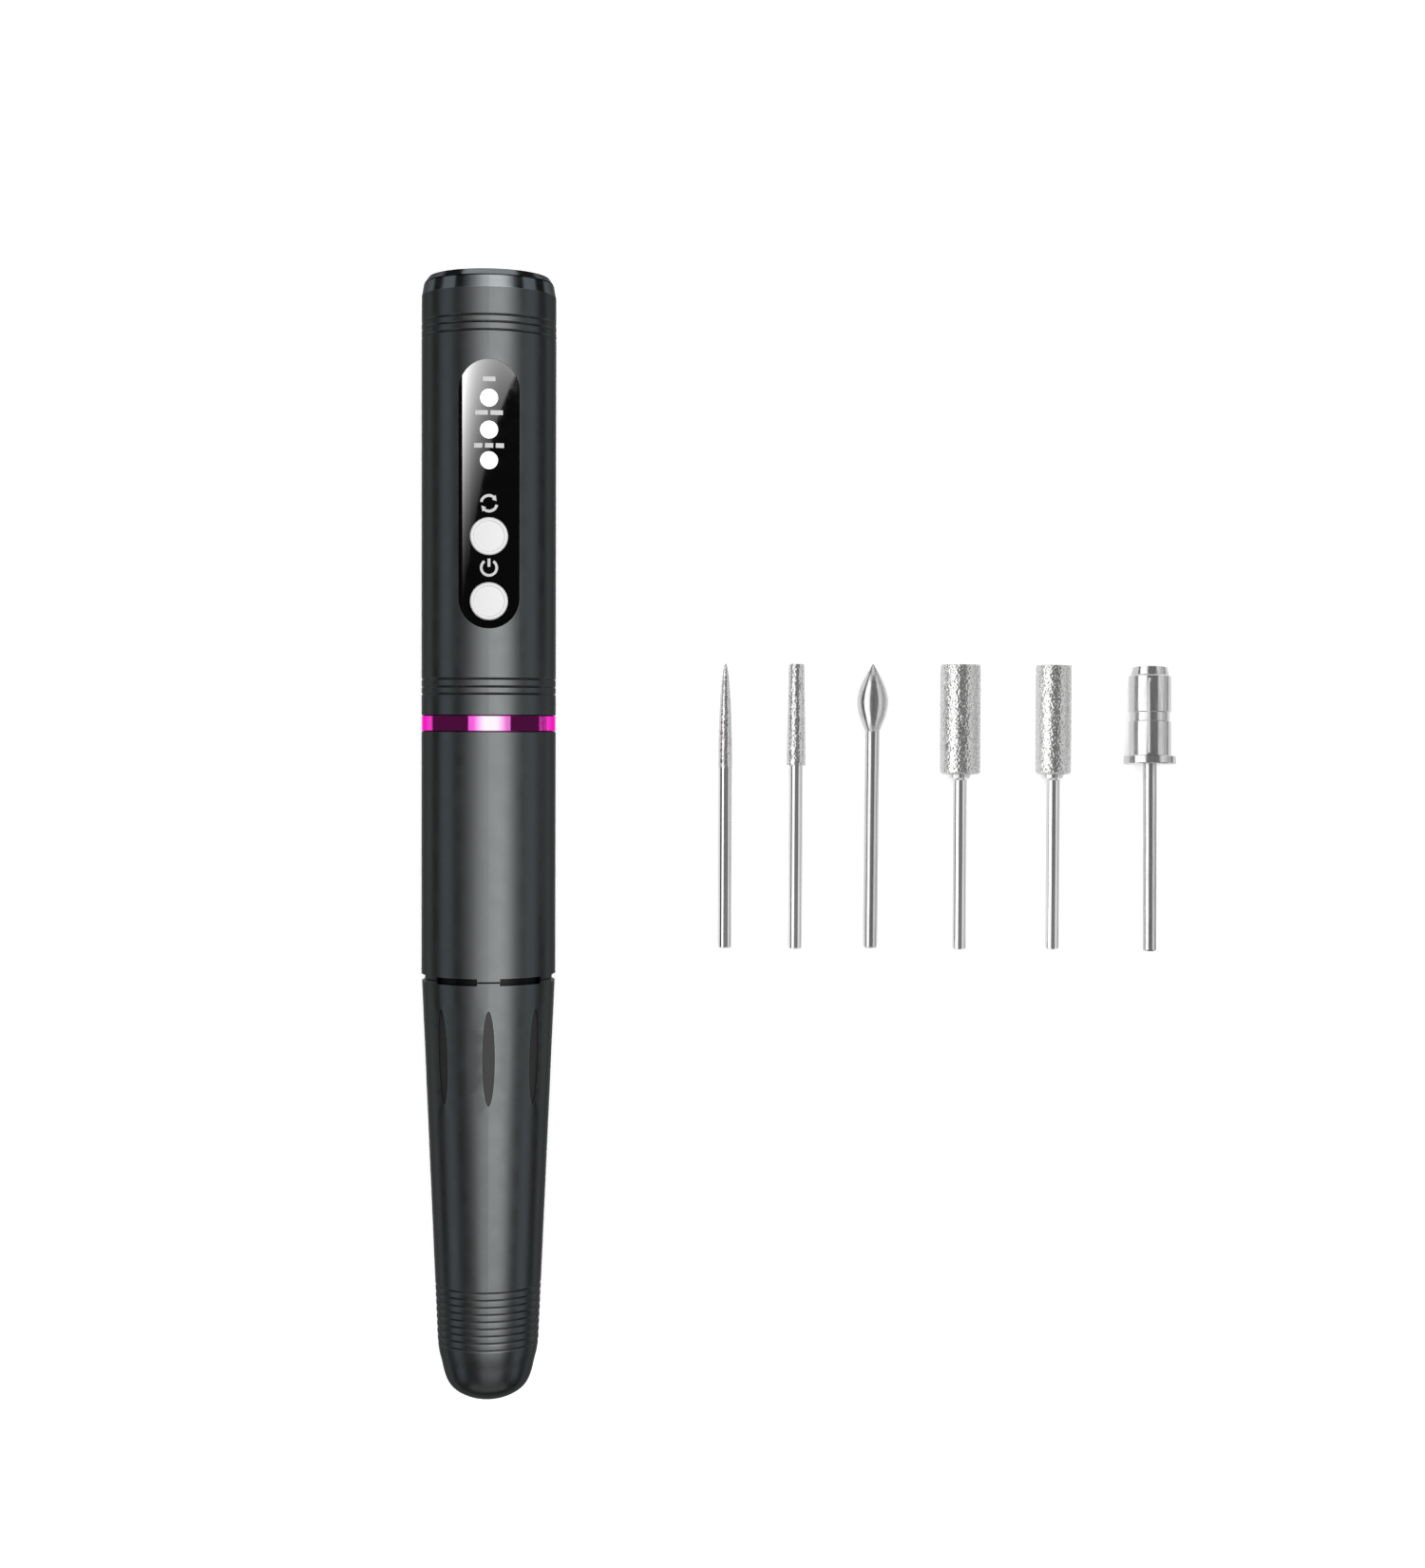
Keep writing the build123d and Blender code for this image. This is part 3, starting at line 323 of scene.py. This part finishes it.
def white_plastic(name, color, roughness, glow=0.0):
    surface = Surface(name, color, 0.0, roughness, emission_color=(1, 1, 1, 1), emission_strength=glow)
    surface.drive("Roughness", surface.spread(surface.noise(2500), roughness - 0.05, roughness + 0.08))
    surface.bump(surface.noise(4000), 0.001 * MM, 0.3)
    return surface.material


# Materials of the metal and plastic inside


def turned_metal(name, color, roughness, lines=14000, depth=0.002):
    """Metal with the fine rings that a lathe leaves round the Y axis, depth millimetres deep."""
    surface = Surface(name, color, 1.0, roughness, anisotropic=0.2)
    rings = surface.noise((40, lines, 40), 2.0)
    surface.tint(rings, tuple(c * 0.88 for c in color), color)
    surface.drive("Roughness", surface.spread(rings, roughness - 0.06, roughness + 0.08))
    surface.bump(rings, depth * MM, 0.4)
    return surface.material


def drawn_metal(name, color, roughness):
    """Polished metal with faint streaks along the Y axis and slight clouding."""
    surface = Surface(name, color, 1.0, roughness)
    streaks = surface.noise((3500, 60, 3500), 2.0)
    surface.tint(surface.spread(streaks, 0, 1), tuple(c * 0.8 for c in color), color)
    surface.drive("Roughness", surface.spread(surface.noise(900), roughness - 0.04, roughness + 0.04))
    return surface.material


def grit(name, color, roughness):
    """Bright sintered grains: the grains are in the mesh, the finer sparkle is here."""
    surface = Surface(name, color, 1.0, roughness)
    sparkle = surface.noise(3600, 2.0)
    surface.tint(surface.spread(sparkle, 0, 1), tuple(c * 0.72 for c in color), color)
    surface.drive("Roughness", surface.spread(sparkle, roughness - 0.1, roughness + 0.1))
    surface.bump(surface.noise(9000, 2.0), 0.008 * MM, 0.5)
    return surface.material


def moulded(name, color, roughness=0.5):
    surface = Surface(name, color, 0.0, roughness)
    surface.drive("Roughness", surface.spread(surface.noise(1500), roughness - 0.08, roughness + 0.1))
    surface.bump(surface.noise(6000), 0.01 * MM, 0.5)
    return surface.material


def striped(name, color, dark, metallic, roughness, scale, direction):
    """Close parallel lines, as on laminations, enamelled wire or circuit traces."""
    surface = Surface(name, color, metallic, roughness)
    wave = surface.add("ShaderNodeTexWave", bands_direction=direction)
    wave.inputs["Scale"].default_value = 1.0
    wave.inputs["Distortion"].default_value = 0.6
    surface.join(surface.scaled(scale), wave.inputs["Vector"])
    surface.tint(wave.outputs["Fac"], dark, color)
    surface.bump(wave.outputs["Fac"], 0.03 * MM, 0.6)
    return surface.material


MATERIALS = {
    "dark_casing": anodised("dark_casing", (0.0715, 0.077, 0.0765), (0.16, 0.17, 0.17), 0.32),
    "polished_bevel": anodised("polished_bevel", (0.11, 0.12, 0.125), (0.20, 0.21, 0.22), 0.14),
    "magenta_mirror": mirror_ring(),
    "grip_rubber": rubber("grip_rubber", (0.012, 0.0128, 0.0124), 0.58, 0.42),
    "panel_black": panel_glass(),
    "button_white": white_plastic("button_white", (0.55, 0.55, 0.55), 0.28),
    "light_diffuser": white_plastic("light_diffuser", (0.9, 0.9, 0.9), 0.3, 0.6),
    "bit_steel": drawn_metal("bit_steel", (0.84, 0.84, 0.84), 0.12),
    "bit_grit": grit("bit_grit", (0.78, 0.78, 0.775), 0.26),
    "print_white": white_plastic("print_white", (0.46, 0.46, 0.46), 0.6),
    "bit_chrome": drawn_metal("bit_chrome", (0.68, 0.68, 0.68), 0.2),
    "bearing_steel": turned_metal("bearing_steel", (0.62, 0.63, 0.64), 0.2),
    "spring_steel": turned_metal("spring_steel", (0.42, 0.43, 0.45), 0.3),
    "snout_metal": turned_metal("snout_metal", (0.55, 0.56, 0.57), 0.28),
    "lock_metal": anodised("lock_metal", (0.10, 0.11, 0.115), (0.3, 0.31, 0.32), 0.3),
    "silicone": rubber("silicone", (0.03, 0.03, 0.03)),
    "coupling_rubber": rubber("coupling_rubber", (0.35, 0.05, 0.04)),
    "motor_steel": turned_metal("motor_steel", (0.50, 0.51, 0.52), 0.32, 3000),
    "magnet": moulded("magnet", (0.05, 0.05, 0.055), 0.45),
    "core_steel": striped("core_steel", (0.33, 0.34, 0.36), (0.12, 0.12, 0.13), 1.0, 0.4, 2500, "Y"),
    "copper": striped("copper", (0.72, 0.30, 0.12), (0.30, 0.10, 0.04), 1.0, 0.3, 4500, "X"),
    "brass": turned_metal("brass", (0.72, 0.54, 0.24), 0.25),
    "carbon": moulded("carbon", (0.03, 0.03, 0.03), 0.6),
    "motor_plastic": moulded("motor_plastic", (0.03, 0.03, 0.034)),
    "carrier_plastic": moulded("carrier_plastic", (0.05, 0.05, 0.054)),
    "circuit_board": striped("circuit_board", (0.02, 0.20, 0.08), (0.01, 0.12, 0.05), 0.0, 0.3, 900, "X"),
    "cell_wrap": moulded("cell_wrap", (0.03, 0.13, 0.35), 0.3),
    "wire_insulation": moulded("wire_insulation", (0.50, 0.02, 0.02), 0.35),
    "screw_steel": turned_metal("screw_steel", (0.40, 0.41, 0.43), 0.3),
    "socket_steel": turned_metal("socket_steel", (0.55, 0.56, 0.58), 0.25, 3000),
}

for part in frame["record"]["subparts"]:
    slots = nodes[part["node"]].data.materials
    slots.clear()
    slots.append(MATERIALS[part["material_slot"]])


# Gritty bits: turned outlines whose heads carry a real layer of grains


def stepped(points, step):
    """The outline with points added, so that none lies further than step from the next."""
    fine = []
    for (depth, radius), (next_depth, next_radius) in zip(points, points[1:]):
        count = max(1, math.ceil(math.hypot(next_depth - depth, next_radius - radius) / step))
        for index in range(count):
            part = index / count
            fine.append((depth + part * (next_depth - depth), radius + part * (next_radius - radius)))
    fine.append(points[-1])
    return fine


def grain(point):
    """How deep the surface lies below the tops of the grains, 0 to 1."""
    coarse = noise.noise(point * COARSE_GRAIN)
    fine = noise.noise(point * FINE_GRAIN + Vector((7, 3, 5)))
    return min(1.0, max(0.0, 0.45 - 0.7 * coarse - 0.6 * fine))


def needle_outline():
    """The needle's side: it bulges a little, from the tip's end to the shank."""
    side = []
    for index in range(NEEDLE_STEPS + 1):
        part = index / NEEDLE_STEPS
        fullness = math.sin(part * math.pi / 2) ** NEEDLE_FULLNESS
        side.append((part * NEEDLE_HEAD, NEEDLE_TIP_R + (SHANK_R - NEEDLE_TIP_R) * fullness))
    return [(0, 0)] + side


def barrel_outline(radius):
    """A barrel's side: its front edge is rounded, its rear edge is bevelled down to the collar."""
    return [
        (0, 0),
        (0, radius - BARREL_ROUND),
        (BARREL_MIDDLE, radius - BARREL_MIDDLE),
        (BARREL_ROUND, radius),
        (BARREL_HEAD - BARREL_BREAK, radius),
        (BARREL_HEAD, radius - BARREL_BREAK),
        (BARREL_HEAD, COLLAR_R),
    ]


def gritty_bit(node, head, neck, depth_scale=1.0):
    """A bit in place of its CAD node. head and neck are (depth, radius) outlines; only the head is gritty."""
    length = BIT_LENGTHS[node]
    grit = stepped(head, GRIT_STEP)
    smooth = neck + [(length - SHANK_BREAK, SHANK_R), (length, SHANK_R - SHANK_BREAK), (length, 0)]
    outline = grit + smooth
    widest = max(radius for _, radius in head)
    around = max(64, round(2 * math.pi * widest / GRIT_STEP))
    vertices, faces, slots = [], [], []
    for row, (depth, radius) in enumerate(outline):
        gritty = 0 < row < len(grit)
        for turn in range(around):
            angle = 2 * math.pi * turn / around
            side = Vector((math.cos(angle), 0, math.sin(angle)))
            point = side * radius + Vector((0, -depth, 0))
            if gritty:
                point -= side * min(radius / 2, grain(point) * GRIT_DEPTH * depth_scale)
            vertices.append(point * MM)
    for row in range(len(outline) - 1):
        for turn in range(around):
            beside = (turn + 1) % around
            first, second = row * around, (row + 1) * around
            faces.append((first + turn, first + beside, second + beside, second + turn))
            slots.append(0 if row < len(grit) - 1 else 1)
    mesh = bpy.data.meshes.new(node)
    mesh.from_pydata(vertices, [], faces)
    mesh.materials.append(MATERIALS["bit_grit"])
    mesh.materials.append(MATERIALS["bit_steel"])
    mesh.polygons.foreach_set("material_index", slots)
    close_ends(mesh)
    bit = link(bpy.data.objects.new(node + "_coated", mesh))
    lay(bit, node)
    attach(bit, BIT_BODIES[node])
    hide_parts(node)


def close_ends(mesh):
    """Merges the rings of points that lie on the axis, turns faces outward and shades the mesh."""
    shape = bmesh.new()
    shape.from_mesh(mesh)
    bmesh.ops.remove_doubles(shape, verts=shape.verts, dist=0.00001 * MM)
    bmesh.ops.recalc_face_normals(shape, faces=shape.faces)
    shape.to_mesh(mesh)
    shape.free()
    mesh.shade_smooth()
    mesh.set_sharp_from_angle(angle=math.radians(40))


def lay(bit, node):
    """Puts a bit, made with its tip at the origin and its shank along -Y, where its CAD node lies."""
    low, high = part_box(node)
    rear = [v.co for v in nodes[node].data.vertices if v.co.y < low.y + 0.5 * MM]
    front = [v.co for v in nodes[node].data.vertices if v.co.y > high.y - 0.5 * MM]
    ends = []
    for points in (rear, front):
        ends.append([(min(p[axis] for p in points) + max(p[axis] for p in points)) / 2 for axis in (0, 2)])
    start = Vector((ends[1][0], high.y - 0.1 * MM, ends[1][1]))
    end = Vector((ends[0][0], low.y + 0.1 * MM, ends[0][1]))
    turn = (start - end).normalized().to_track_quat("Y", "Z").to_matrix().to_4x4()
    bit.matrix_world = Matrix.Translation((start.x, high.y, start.z)) @ turn


def make_bits():
    gritty_bit("bit_needle", needle_outline(), [], NEEDLE_GRIT)
    taper = [(0, 0), (0, 1.15), (0.1, 1.3), (TAPER_HEAD, 1.6)]
    gritty_bit("bit_taper", taper, [(TAPER_HEAD + TAPER_STEP, SHANK_R)], TAPER_GRIT)
    collar = [(BARREL_HEAD + 0.55, COLLAR_R), (BARREL_HEAD + 0.9, SHANK_R)]
    for node, radius in BARREL_R.items():
        gritty_bit(node, barrel_outline(radius), collar)


# The closing spring, which shortens when the collet slides forward; here a fixed coil carried by the spindle


def make_spring():
    low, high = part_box("closing_spring")
    wire, sides = SPRING_WIRE_R, WIRE_SIDES
    coil = (high.x - low.x) / 2 - wire
    start, end = low.y + wire, high.y - wire
    vertices, faces = [], []
    count = SPRING_TURNS * COIL_STEPS
    for index in range(count + 1):
        angle = 2 * math.pi * index / COIL_STEPS
        outward = Vector((math.cos(angle), 0, math.sin(angle)))
        centre = outward * coil + Vector((0, start + (end - start) * index / count, 0))
        for side in range(sides):
            turn = 2 * math.pi * side / sides
            rise = Vector((0, wire * math.sin(turn), 0))
            vertices.append(centre + outward * wire * math.cos(turn) + rise)
    for index in range(count):
        for side in range(sides):
            beside = (side + 1) % sides
            first, second = index * sides, (index + 1) * sides
            faces.append((first + side, first + beside, second + beside, second + side))
    faces.append(tuple(range(sides)))
    faces.append(tuple(range(count * sides, (count + 1) * sides)))
    mesh = bpy.data.meshes.new("closing_spring")
    mesh.from_pydata(vertices, [], faces)
    mesh.materials.append(MATERIALS["spring_steel"])
    close_ends(mesh)
    spring = link(bpy.data.objects.new("closing_spring_coil", mesh))
    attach(spring, "spindle")
    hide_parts("closing_spring")
    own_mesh(spring)


# Printed marks on the panel's lens


def printed(name, strips):
    """Thin ink that follows the lens. Each strip is a row of (one side, other side) points in millimetres."""
    vertices, faces = [], []
    across = 4
    for strip in strips:
        first = len(vertices)
        for one, other in strip:
            for level in (MARK_R + INK, MARK_R - INK):
                for step in range(across + 1):
                    part = step / across
                    x = (one[0] + part * (other[0] - one[0])) * MM
                    y = (one[1] + part * (other[1] - one[1])) * MM
                    vertices.append((x, y, math.sqrt(level**2 - x**2)))
        width = across + 1
        row = 2 * width
        for index in range(len(strip) - 1):
            near, far = first + index * row, first + (index + 1) * row
            for step in range(across):
                faces.append((near + step, near + step + 1, far + step + 1, far + step))
                below, far_below = near + width + step, far + width + step
                faces.append((below, far_below, far_below + 1, below + 1))
            for edge in (0, across):
                faces.append((near + edge, far + edge, far + width + edge, near + width + edge))
        for end in (first, first + (len(strip) - 1) * row):
            for step in range(across):
                faces.append((end + step, end + step + 1, end + width + step + 1, end + width + step))
    mesh = bpy.data.meshes.new(name)
    mesh.from_pydata(vertices, [], faces)
    shape = bmesh.new()
    shape.from_mesh(mesh)
    bmesh.ops.recalc_face_normals(shape, faces=shape.faces)
    shape.to_mesh(mesh)
    shape.free()
    mesh.materials.append(MATERIALS["print_white"])
    mark = link(bpy.data.objects.new(name, mesh))
    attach(mark, "body_shell")


def arc(middle, inner, outer, start, end, tip=0.0):
    """An arc of ink; with a tip, it ends in an arrowhead that many degrees long."""
    rows = []
    steps = 24
    for step in range(steps + 1):
        angle = start + (end - start) * step / steps
        rows.append((angle, inner, outer))
    if tip:
        half = (outer - inner) / 2
        centre = (outer + inner) / 2
        rows.append((end, centre - 2.1 * half, centre + 2.1 * half))
        rows.append((end + tip, centre - 0.1 * half, centre + 0.1 * half))
    strip = []
    for angle, low, high in rows:
        c, s = math.cos(math.radians(angle)), math.sin(math.radians(angle))
        strip.append(((low * c, middle + low * s), (high * c, middle + high * s)))
    return strip


def bar(x, y, width, height):
    left, right = x - width / 2, x + width / 2
    low, high = y - height / 2, y + height / 2
    return [((left, low), (right, low)), ((left, high), (right, high))]


def make_marks():
    """Level bars by the three lights, a turning sign and a power sign by the buttons."""
    for count, (y, width) in enumerate(LEVEL_BARS, 1):
        pitch = width + BAR_GAP
        bars = [bar((index - (count - 1) / 2) * pitch, y, width, BAR_HEIGHT) for index in range(count)]
        printed(f"mark_level_{count}", bars)
    arrows = [arc(DIRECTION_SIGN, SIGN_INNER, 1.4, start, start - 118, -34) for start in (170, 350)]
    printed("mark_direction", arrows)
    printed("mark_power", [arc(POWER_SIGN, SIGN_INNER, 1.38, 125, 415), bar(0, 98.05, 0.42, 1.25)])


make_bits()
make_spring()
make_marks()


# Stage: floor, soft light and camera


def bearing(degrees, height):
    """How far to the side a direction reaches at a height above the pen's axis."""
    return height * math.tan(math.radians(degrees))


def lit_by(lamp, receivers=(), others_than=()):
    """The lamp lights only the receivers, or everything other than the ones named."""
    group = bpy.data.collections.new(lamp.name + "_lights")
    for thing in (*receivers, *others_than):
        group.objects.link(thing)
    if others_than:
        for entry in group.collection_objects:
            entry.light_linking.link_state = "EXCLUDE"
    lamp.light_linking.receiver_collection = group
    return lamp


def softbox(name, place, aim, size, radiance):
    """A rectangular lamp; radiance 1 is as bright as a white page."""
    data = bpy.data.lights.new(name, "AREA")
    data.shape = "RECTANGLE"
    data.size, data.size_y = size
    data.energy = radiance * math.pi * data.size * data.size_y
    lamp = link(bpy.data.objects.new(name, data))
    lamp.location = place
    lamp.rotation_euler = (Vector(aim) - Vector(place)).to_track_quat("-Z", "Y").to_euler()
    lamp.visible_camera = False
    return lamp


def overhead_box(name, left, right, start, end, height, radiance):
    """A level softbox over the pen, from bearing left to bearing right and from start to end along Y."""
    x_low, x_high = bearing(left, height), bearing(right, height)
    middle = ((x_low + x_high) / 2, (start + end) / 2)
    size = (x_high - x_low, end - start)
    return softbox(name, (*middle, height), (*middle, 0), size, radiance)


def make_floor():
    """A matt white table. Polished pieces mirror only the part near them, and black flags beyond it."""
    half = FLOOR_HALF
    mesh = bpy.data.meshes.new("floor")
    corners = [(-half, -half), (half, -half), (half, half), (-half, half)]
    mesh.from_pydata([(x, y, TABLE_Z) for x, y in corners], [], [(0, 1, 2, 3)])
    floor = link(bpy.data.objects.new("floor", mesh))
    surface = Surface("floor_white", (0.86, 0.86, 0.86), 0.0, 0.9, specular_ior_level=0.0)
    surface.drive("Roughness", surface.spread(surface.noise(40), 0.85, 0.95))
    path = surface.add("ShaderNodeLightPath")
    seen = surface.add("ShaderNodeEmission")
    level = surface.spread(path.outputs["Ray Length"], 1.0, FLAG_LEVEL, 0.035, 0.047)
    surface.join(level, seen.inputs["Strength"])
    mix = surface.add("ShaderNodeMixShader")
    surface.join(path.outputs["Is Glossy Ray"], mix.inputs["Fac"])
    surface.join(surface.shader.outputs["BSDF"], mix.inputs[1])
    surface.join(seen.outputs["Emission"], mix.inputs[2])
    surface.join(mix.outputs["Shader"], surface.tree.nodes["Material Output"].inputs["Surface"])
    surface.material.cycles.emission_sampling = "NONE"
    mesh.materials.append(surface.material)
    return floor


def make_world():
    """White to the camera, dim to everything that reflects it."""
    world = bpy.data.worlds.new("studio")
    bpy.context.scene.world = world
    world.use_nodes = True
    tree = world.node_tree
    background = tree.nodes["Background"]
    path = tree.nodes.new("ShaderNodeLightPath")
    mix = tree.nodes.new("ShaderNodeMix")
    mix.inputs["A"].default_value = FLAG_LEVEL
    mix.inputs["B"].default_value = 1.0
    tree.links.new(path.outputs["Is Camera Ray"], mix.inputs["Factor"])
    tree.links.new(mix.outputs["Result"], background.inputs["Strength"])
    background.inputs["Color"].default_value = (1, 1, 1, 1)


def make_camera():
    data = bpy.data.cameras.new("camera")
    data.sensor_width = 36
    data.lens = LENS
    data.clip_start = 0.01
    camera = link(bpy.data.objects.new("camera", data))
    turn = Matrix.Rotation(math.radians(-CAMERA_TURN), 4, "Y")
    nod = Matrix.Rotation(math.radians(-CAMERA_NOD), 4, "X")
    roll = Matrix.Rotation(math.radians(CAMERA_ROLL), 4, "Z")
    camera.matrix_world = Matrix.Translation((0, RING_Y, CAMERA_HEIGHT)) @ turn @ nod @ roll
    bpy.context.scene.camera = camera


# The light over the ring: bearing in degrees and colour
RING_BANDS = (
    (-35, (0.95, 1.1, 1.15)),
    (-25, (0.95, 2.0, 1.15)),
    (-16, (1.05, 7.5, 1.6)),
    (-8, (1.1, 13.0, 1.7)),
    (13, (1.1, 13.0, 1.7)),
    (22, (1.05, 7.5, 1.5)),
    (30, (0.85, 2.6, 1.05)),
    (37, (0.8, 2.0, 1.0)),
)

# The light over the casings: bearing in degrees and level
OVERHEAD_BANDS = (
    (-50, 0.15),
    (-38, 0.5),
    (-26, 1.2),
    (-9, 2.9),
    (4, 3.9),
    (14, 4.2),
    (26, 4.0),
    (36, 2.6),
    (46, 0.9),
    (58, 0.2),
)

# The light in front of the nose, which fades away from it: metres along Y and level
FRONT_BANDS = ((-0.9, 0.45), (-0.6, 0.8), (-0.35, 1.4), (-0.235, 2.6))

# Cards round the bits: name, angle from straight up, half spread, radiance
BIT_CARDS = (
    ("bits_far_left", -90, 12, 1.3),
    ("bits_left", -56, 24, 1.7),
    ("bits_top", 0, 32, 0.14),
    ("bits_right", 47, 15, 0.85),
    ("bits_low_right", 78, 16, 0.55),
)


def side_card(name, aim, angle, half, radiance, receivers, length=0.7, distance=0.8):
    """A long card beside the pieces: angle from straight up, positive to the right, and half its spread."""
    way = Vector((math.sin(math.radians(angle)), 0, math.cos(math.radians(angle))))
    width = 2 * distance * math.tan(math.radians(half))
    card = softbox(name, aim + way * distance, aim, (width, length), radiance)
    card.rotation_euler = (0, math.radians(angle), 0)
    return lit_by(card, receivers)


def make_lights(floor):
    ring = [nodes["accent_ring"]]
    lens = [nodes["panel_lens"]]
    bits = [thing for thing in bpy.data.objects if thing.name.startswith("bit_")]
    casings = [nodes[name] for name in ("protective_cap", "motor_housing", "control_housing", "tail_cap")]
    main = overhead_box("overhead", -50, 58, -0.235, 0.60, BOX_HEIGHT, 1)
    lit_by(main, others_than=ring + lens + bits + [floor])
    graded(main, (1, 0, 0), by_bearing(grey(OVERHEAD_BANDS)))
    front = overhead_box("overhead_front", -20, 38, -0.9, -0.235, BOX_HEIGHT, 1)
    lit_by(front, casings)
    graded(front, (0, 1, 0), grey(FRONT_BANDS))
    fill = overhead_box("floor_fill", -60, 60, -1.9, 2.1, 1.2, 2.6)
    lit_by(fill, [floor])
    halo = overhead_box("ring_halo", -35, 37, -0.2, 0.5, BOX_HEIGHT, 1)
    lit_by(halo, ring)
    graded(halo, (1, 0, 0), by_bearing(RING_BANDS))
    for name, angle in (("casing_left", -80), ("casing_right", 80)):
        side_card(name, Vector((0, 0.06, 0)), angle, 16, 0.8, casings, 1.6).data.color = (0.9, 1.0, 1.08)
    for name, angle, half, radiance in BIT_CARDS:
        side_card(name, BITS_MIDDLE, angle, half, radiance, bits, 1.8)
    for name, y in (("bits_front", -0.8), ("bits_rear", 0.95)):
        lit_by(softbox(name, (BITS_X, y, 0.35), BITS_MIDDLE, (0.9, 0.5), 0.9), bits)
    lit_by(softbox("nose_card", (0, -1.2, 0.3), (0, 0, 0.05), (1.6, 0.7), 0.6), casings)
    tail = softbox("tail_card", (0.03, 1.0, 0.3), (0.03, 0, 0.3), (0.95, 0.64), 1.7)
    lit_by(tail, [nodes["tail_cap"]])
    lit_by(reflected_sheet(), lens)


def grey(bands):
    return [(place, (level, level, level)) for place, level in bands]


def by_bearing(bands):
    return [(bearing(angle, BOX_HEIGHT), color) for angle, color in bands]


def place_along(lamp, slope):
    """The lamp's node tree, and in it the dot product of slope and each lamp point's place in metres."""
    lamp.data.use_nodes = True
    tree = lamp.data.node_tree
    place = tree.nodes.new("ShaderNodeNewGeometry")
    along = tree.nodes.new("ShaderNodeVectorMath")
    along.operation = "DOT_PRODUCT"
    along.inputs[1].default_value = slope
    tree.links.new(place.outputs["Position"], along.inputs[0])
    return tree, along.outputs["Value"]


def graded(lamp, slope, stops):
    """Grades a lamp: its light follows stops of (place along slope, colour), where place is in metres."""
    tree, along = place_along(lamp, slope)
    first, last = stops[0][0], stops[-1][0]
    ranged = tree.nodes.new("ShaderNodeMapRange")
    ranged.inputs["From Min"].default_value = first
    ranged.inputs["From Max"].default_value = last
    tree.links.new(along, ranged.inputs["Value"])
    ramp = tree.nodes.new("ShaderNodeValToRGB")
    elements = ramp.color_ramp.elements
    while len(elements) < len(stops):
        elements.new(0.5)
    for element, (where, color) in zip(elements, stops):
        element.position = (where - first) / (last - first)
        element.color = (*color, 1)
    tree.links.new(ranged.outputs["Result"], ramp.inputs["Fac"])
    emission = tree.nodes["Emission"]
    tree.links.new(ramp.outputs["Color"], emission.inputs["Color"])


def reflected_sheet():
    """The long white sheet in the panel's lens: brightest to the rear left, with one straight edge."""
    corner = Vector((*SHEET_CORNER, TUBE_R + SHEET_RISE))
    along = Vector(SHEET_EDGE).normalized()
    across = Vector((along.y, -along.x, 0))
    length, width = SHEET_SIZE
    middle = corner + along * (length / 2 - SHEET_START) + across * width / 2
    lamp = softbox("lens_sheet", middle, middle - Vector((0, 0, 1)), SHEET_SIZE, SHEET_RADIANCE)
    lamp.rotation_euler = (0, 0, math.atan2(-along.y, -along.x))
    tree, place = place_along(lamp, SHEET_SLOPE)
    level = tree.nodes.new("ShaderNodeMath")
    level.operation = "ADD"
    level.use_clamp = True
    level.inputs[1].default_value = SHEET_OFFSET
    tree.links.new(place, level.inputs[0])
    power = tree.nodes.new("ShaderNodeMath")
    power.operation = "POWER"
    power.inputs[1].default_value = SHEET_POWER
    tree.links.new(level.outputs["Value"], power.inputs[0])
    tree.links.new(power.outputs["Value"], tree.nodes["Emission"].inputs["Strength"])
    return lamp


floor = make_floor()
make_world()
make_lights(floor)
make_camera()
bpy.context.scene.view_settings.view_transform = "Standard"
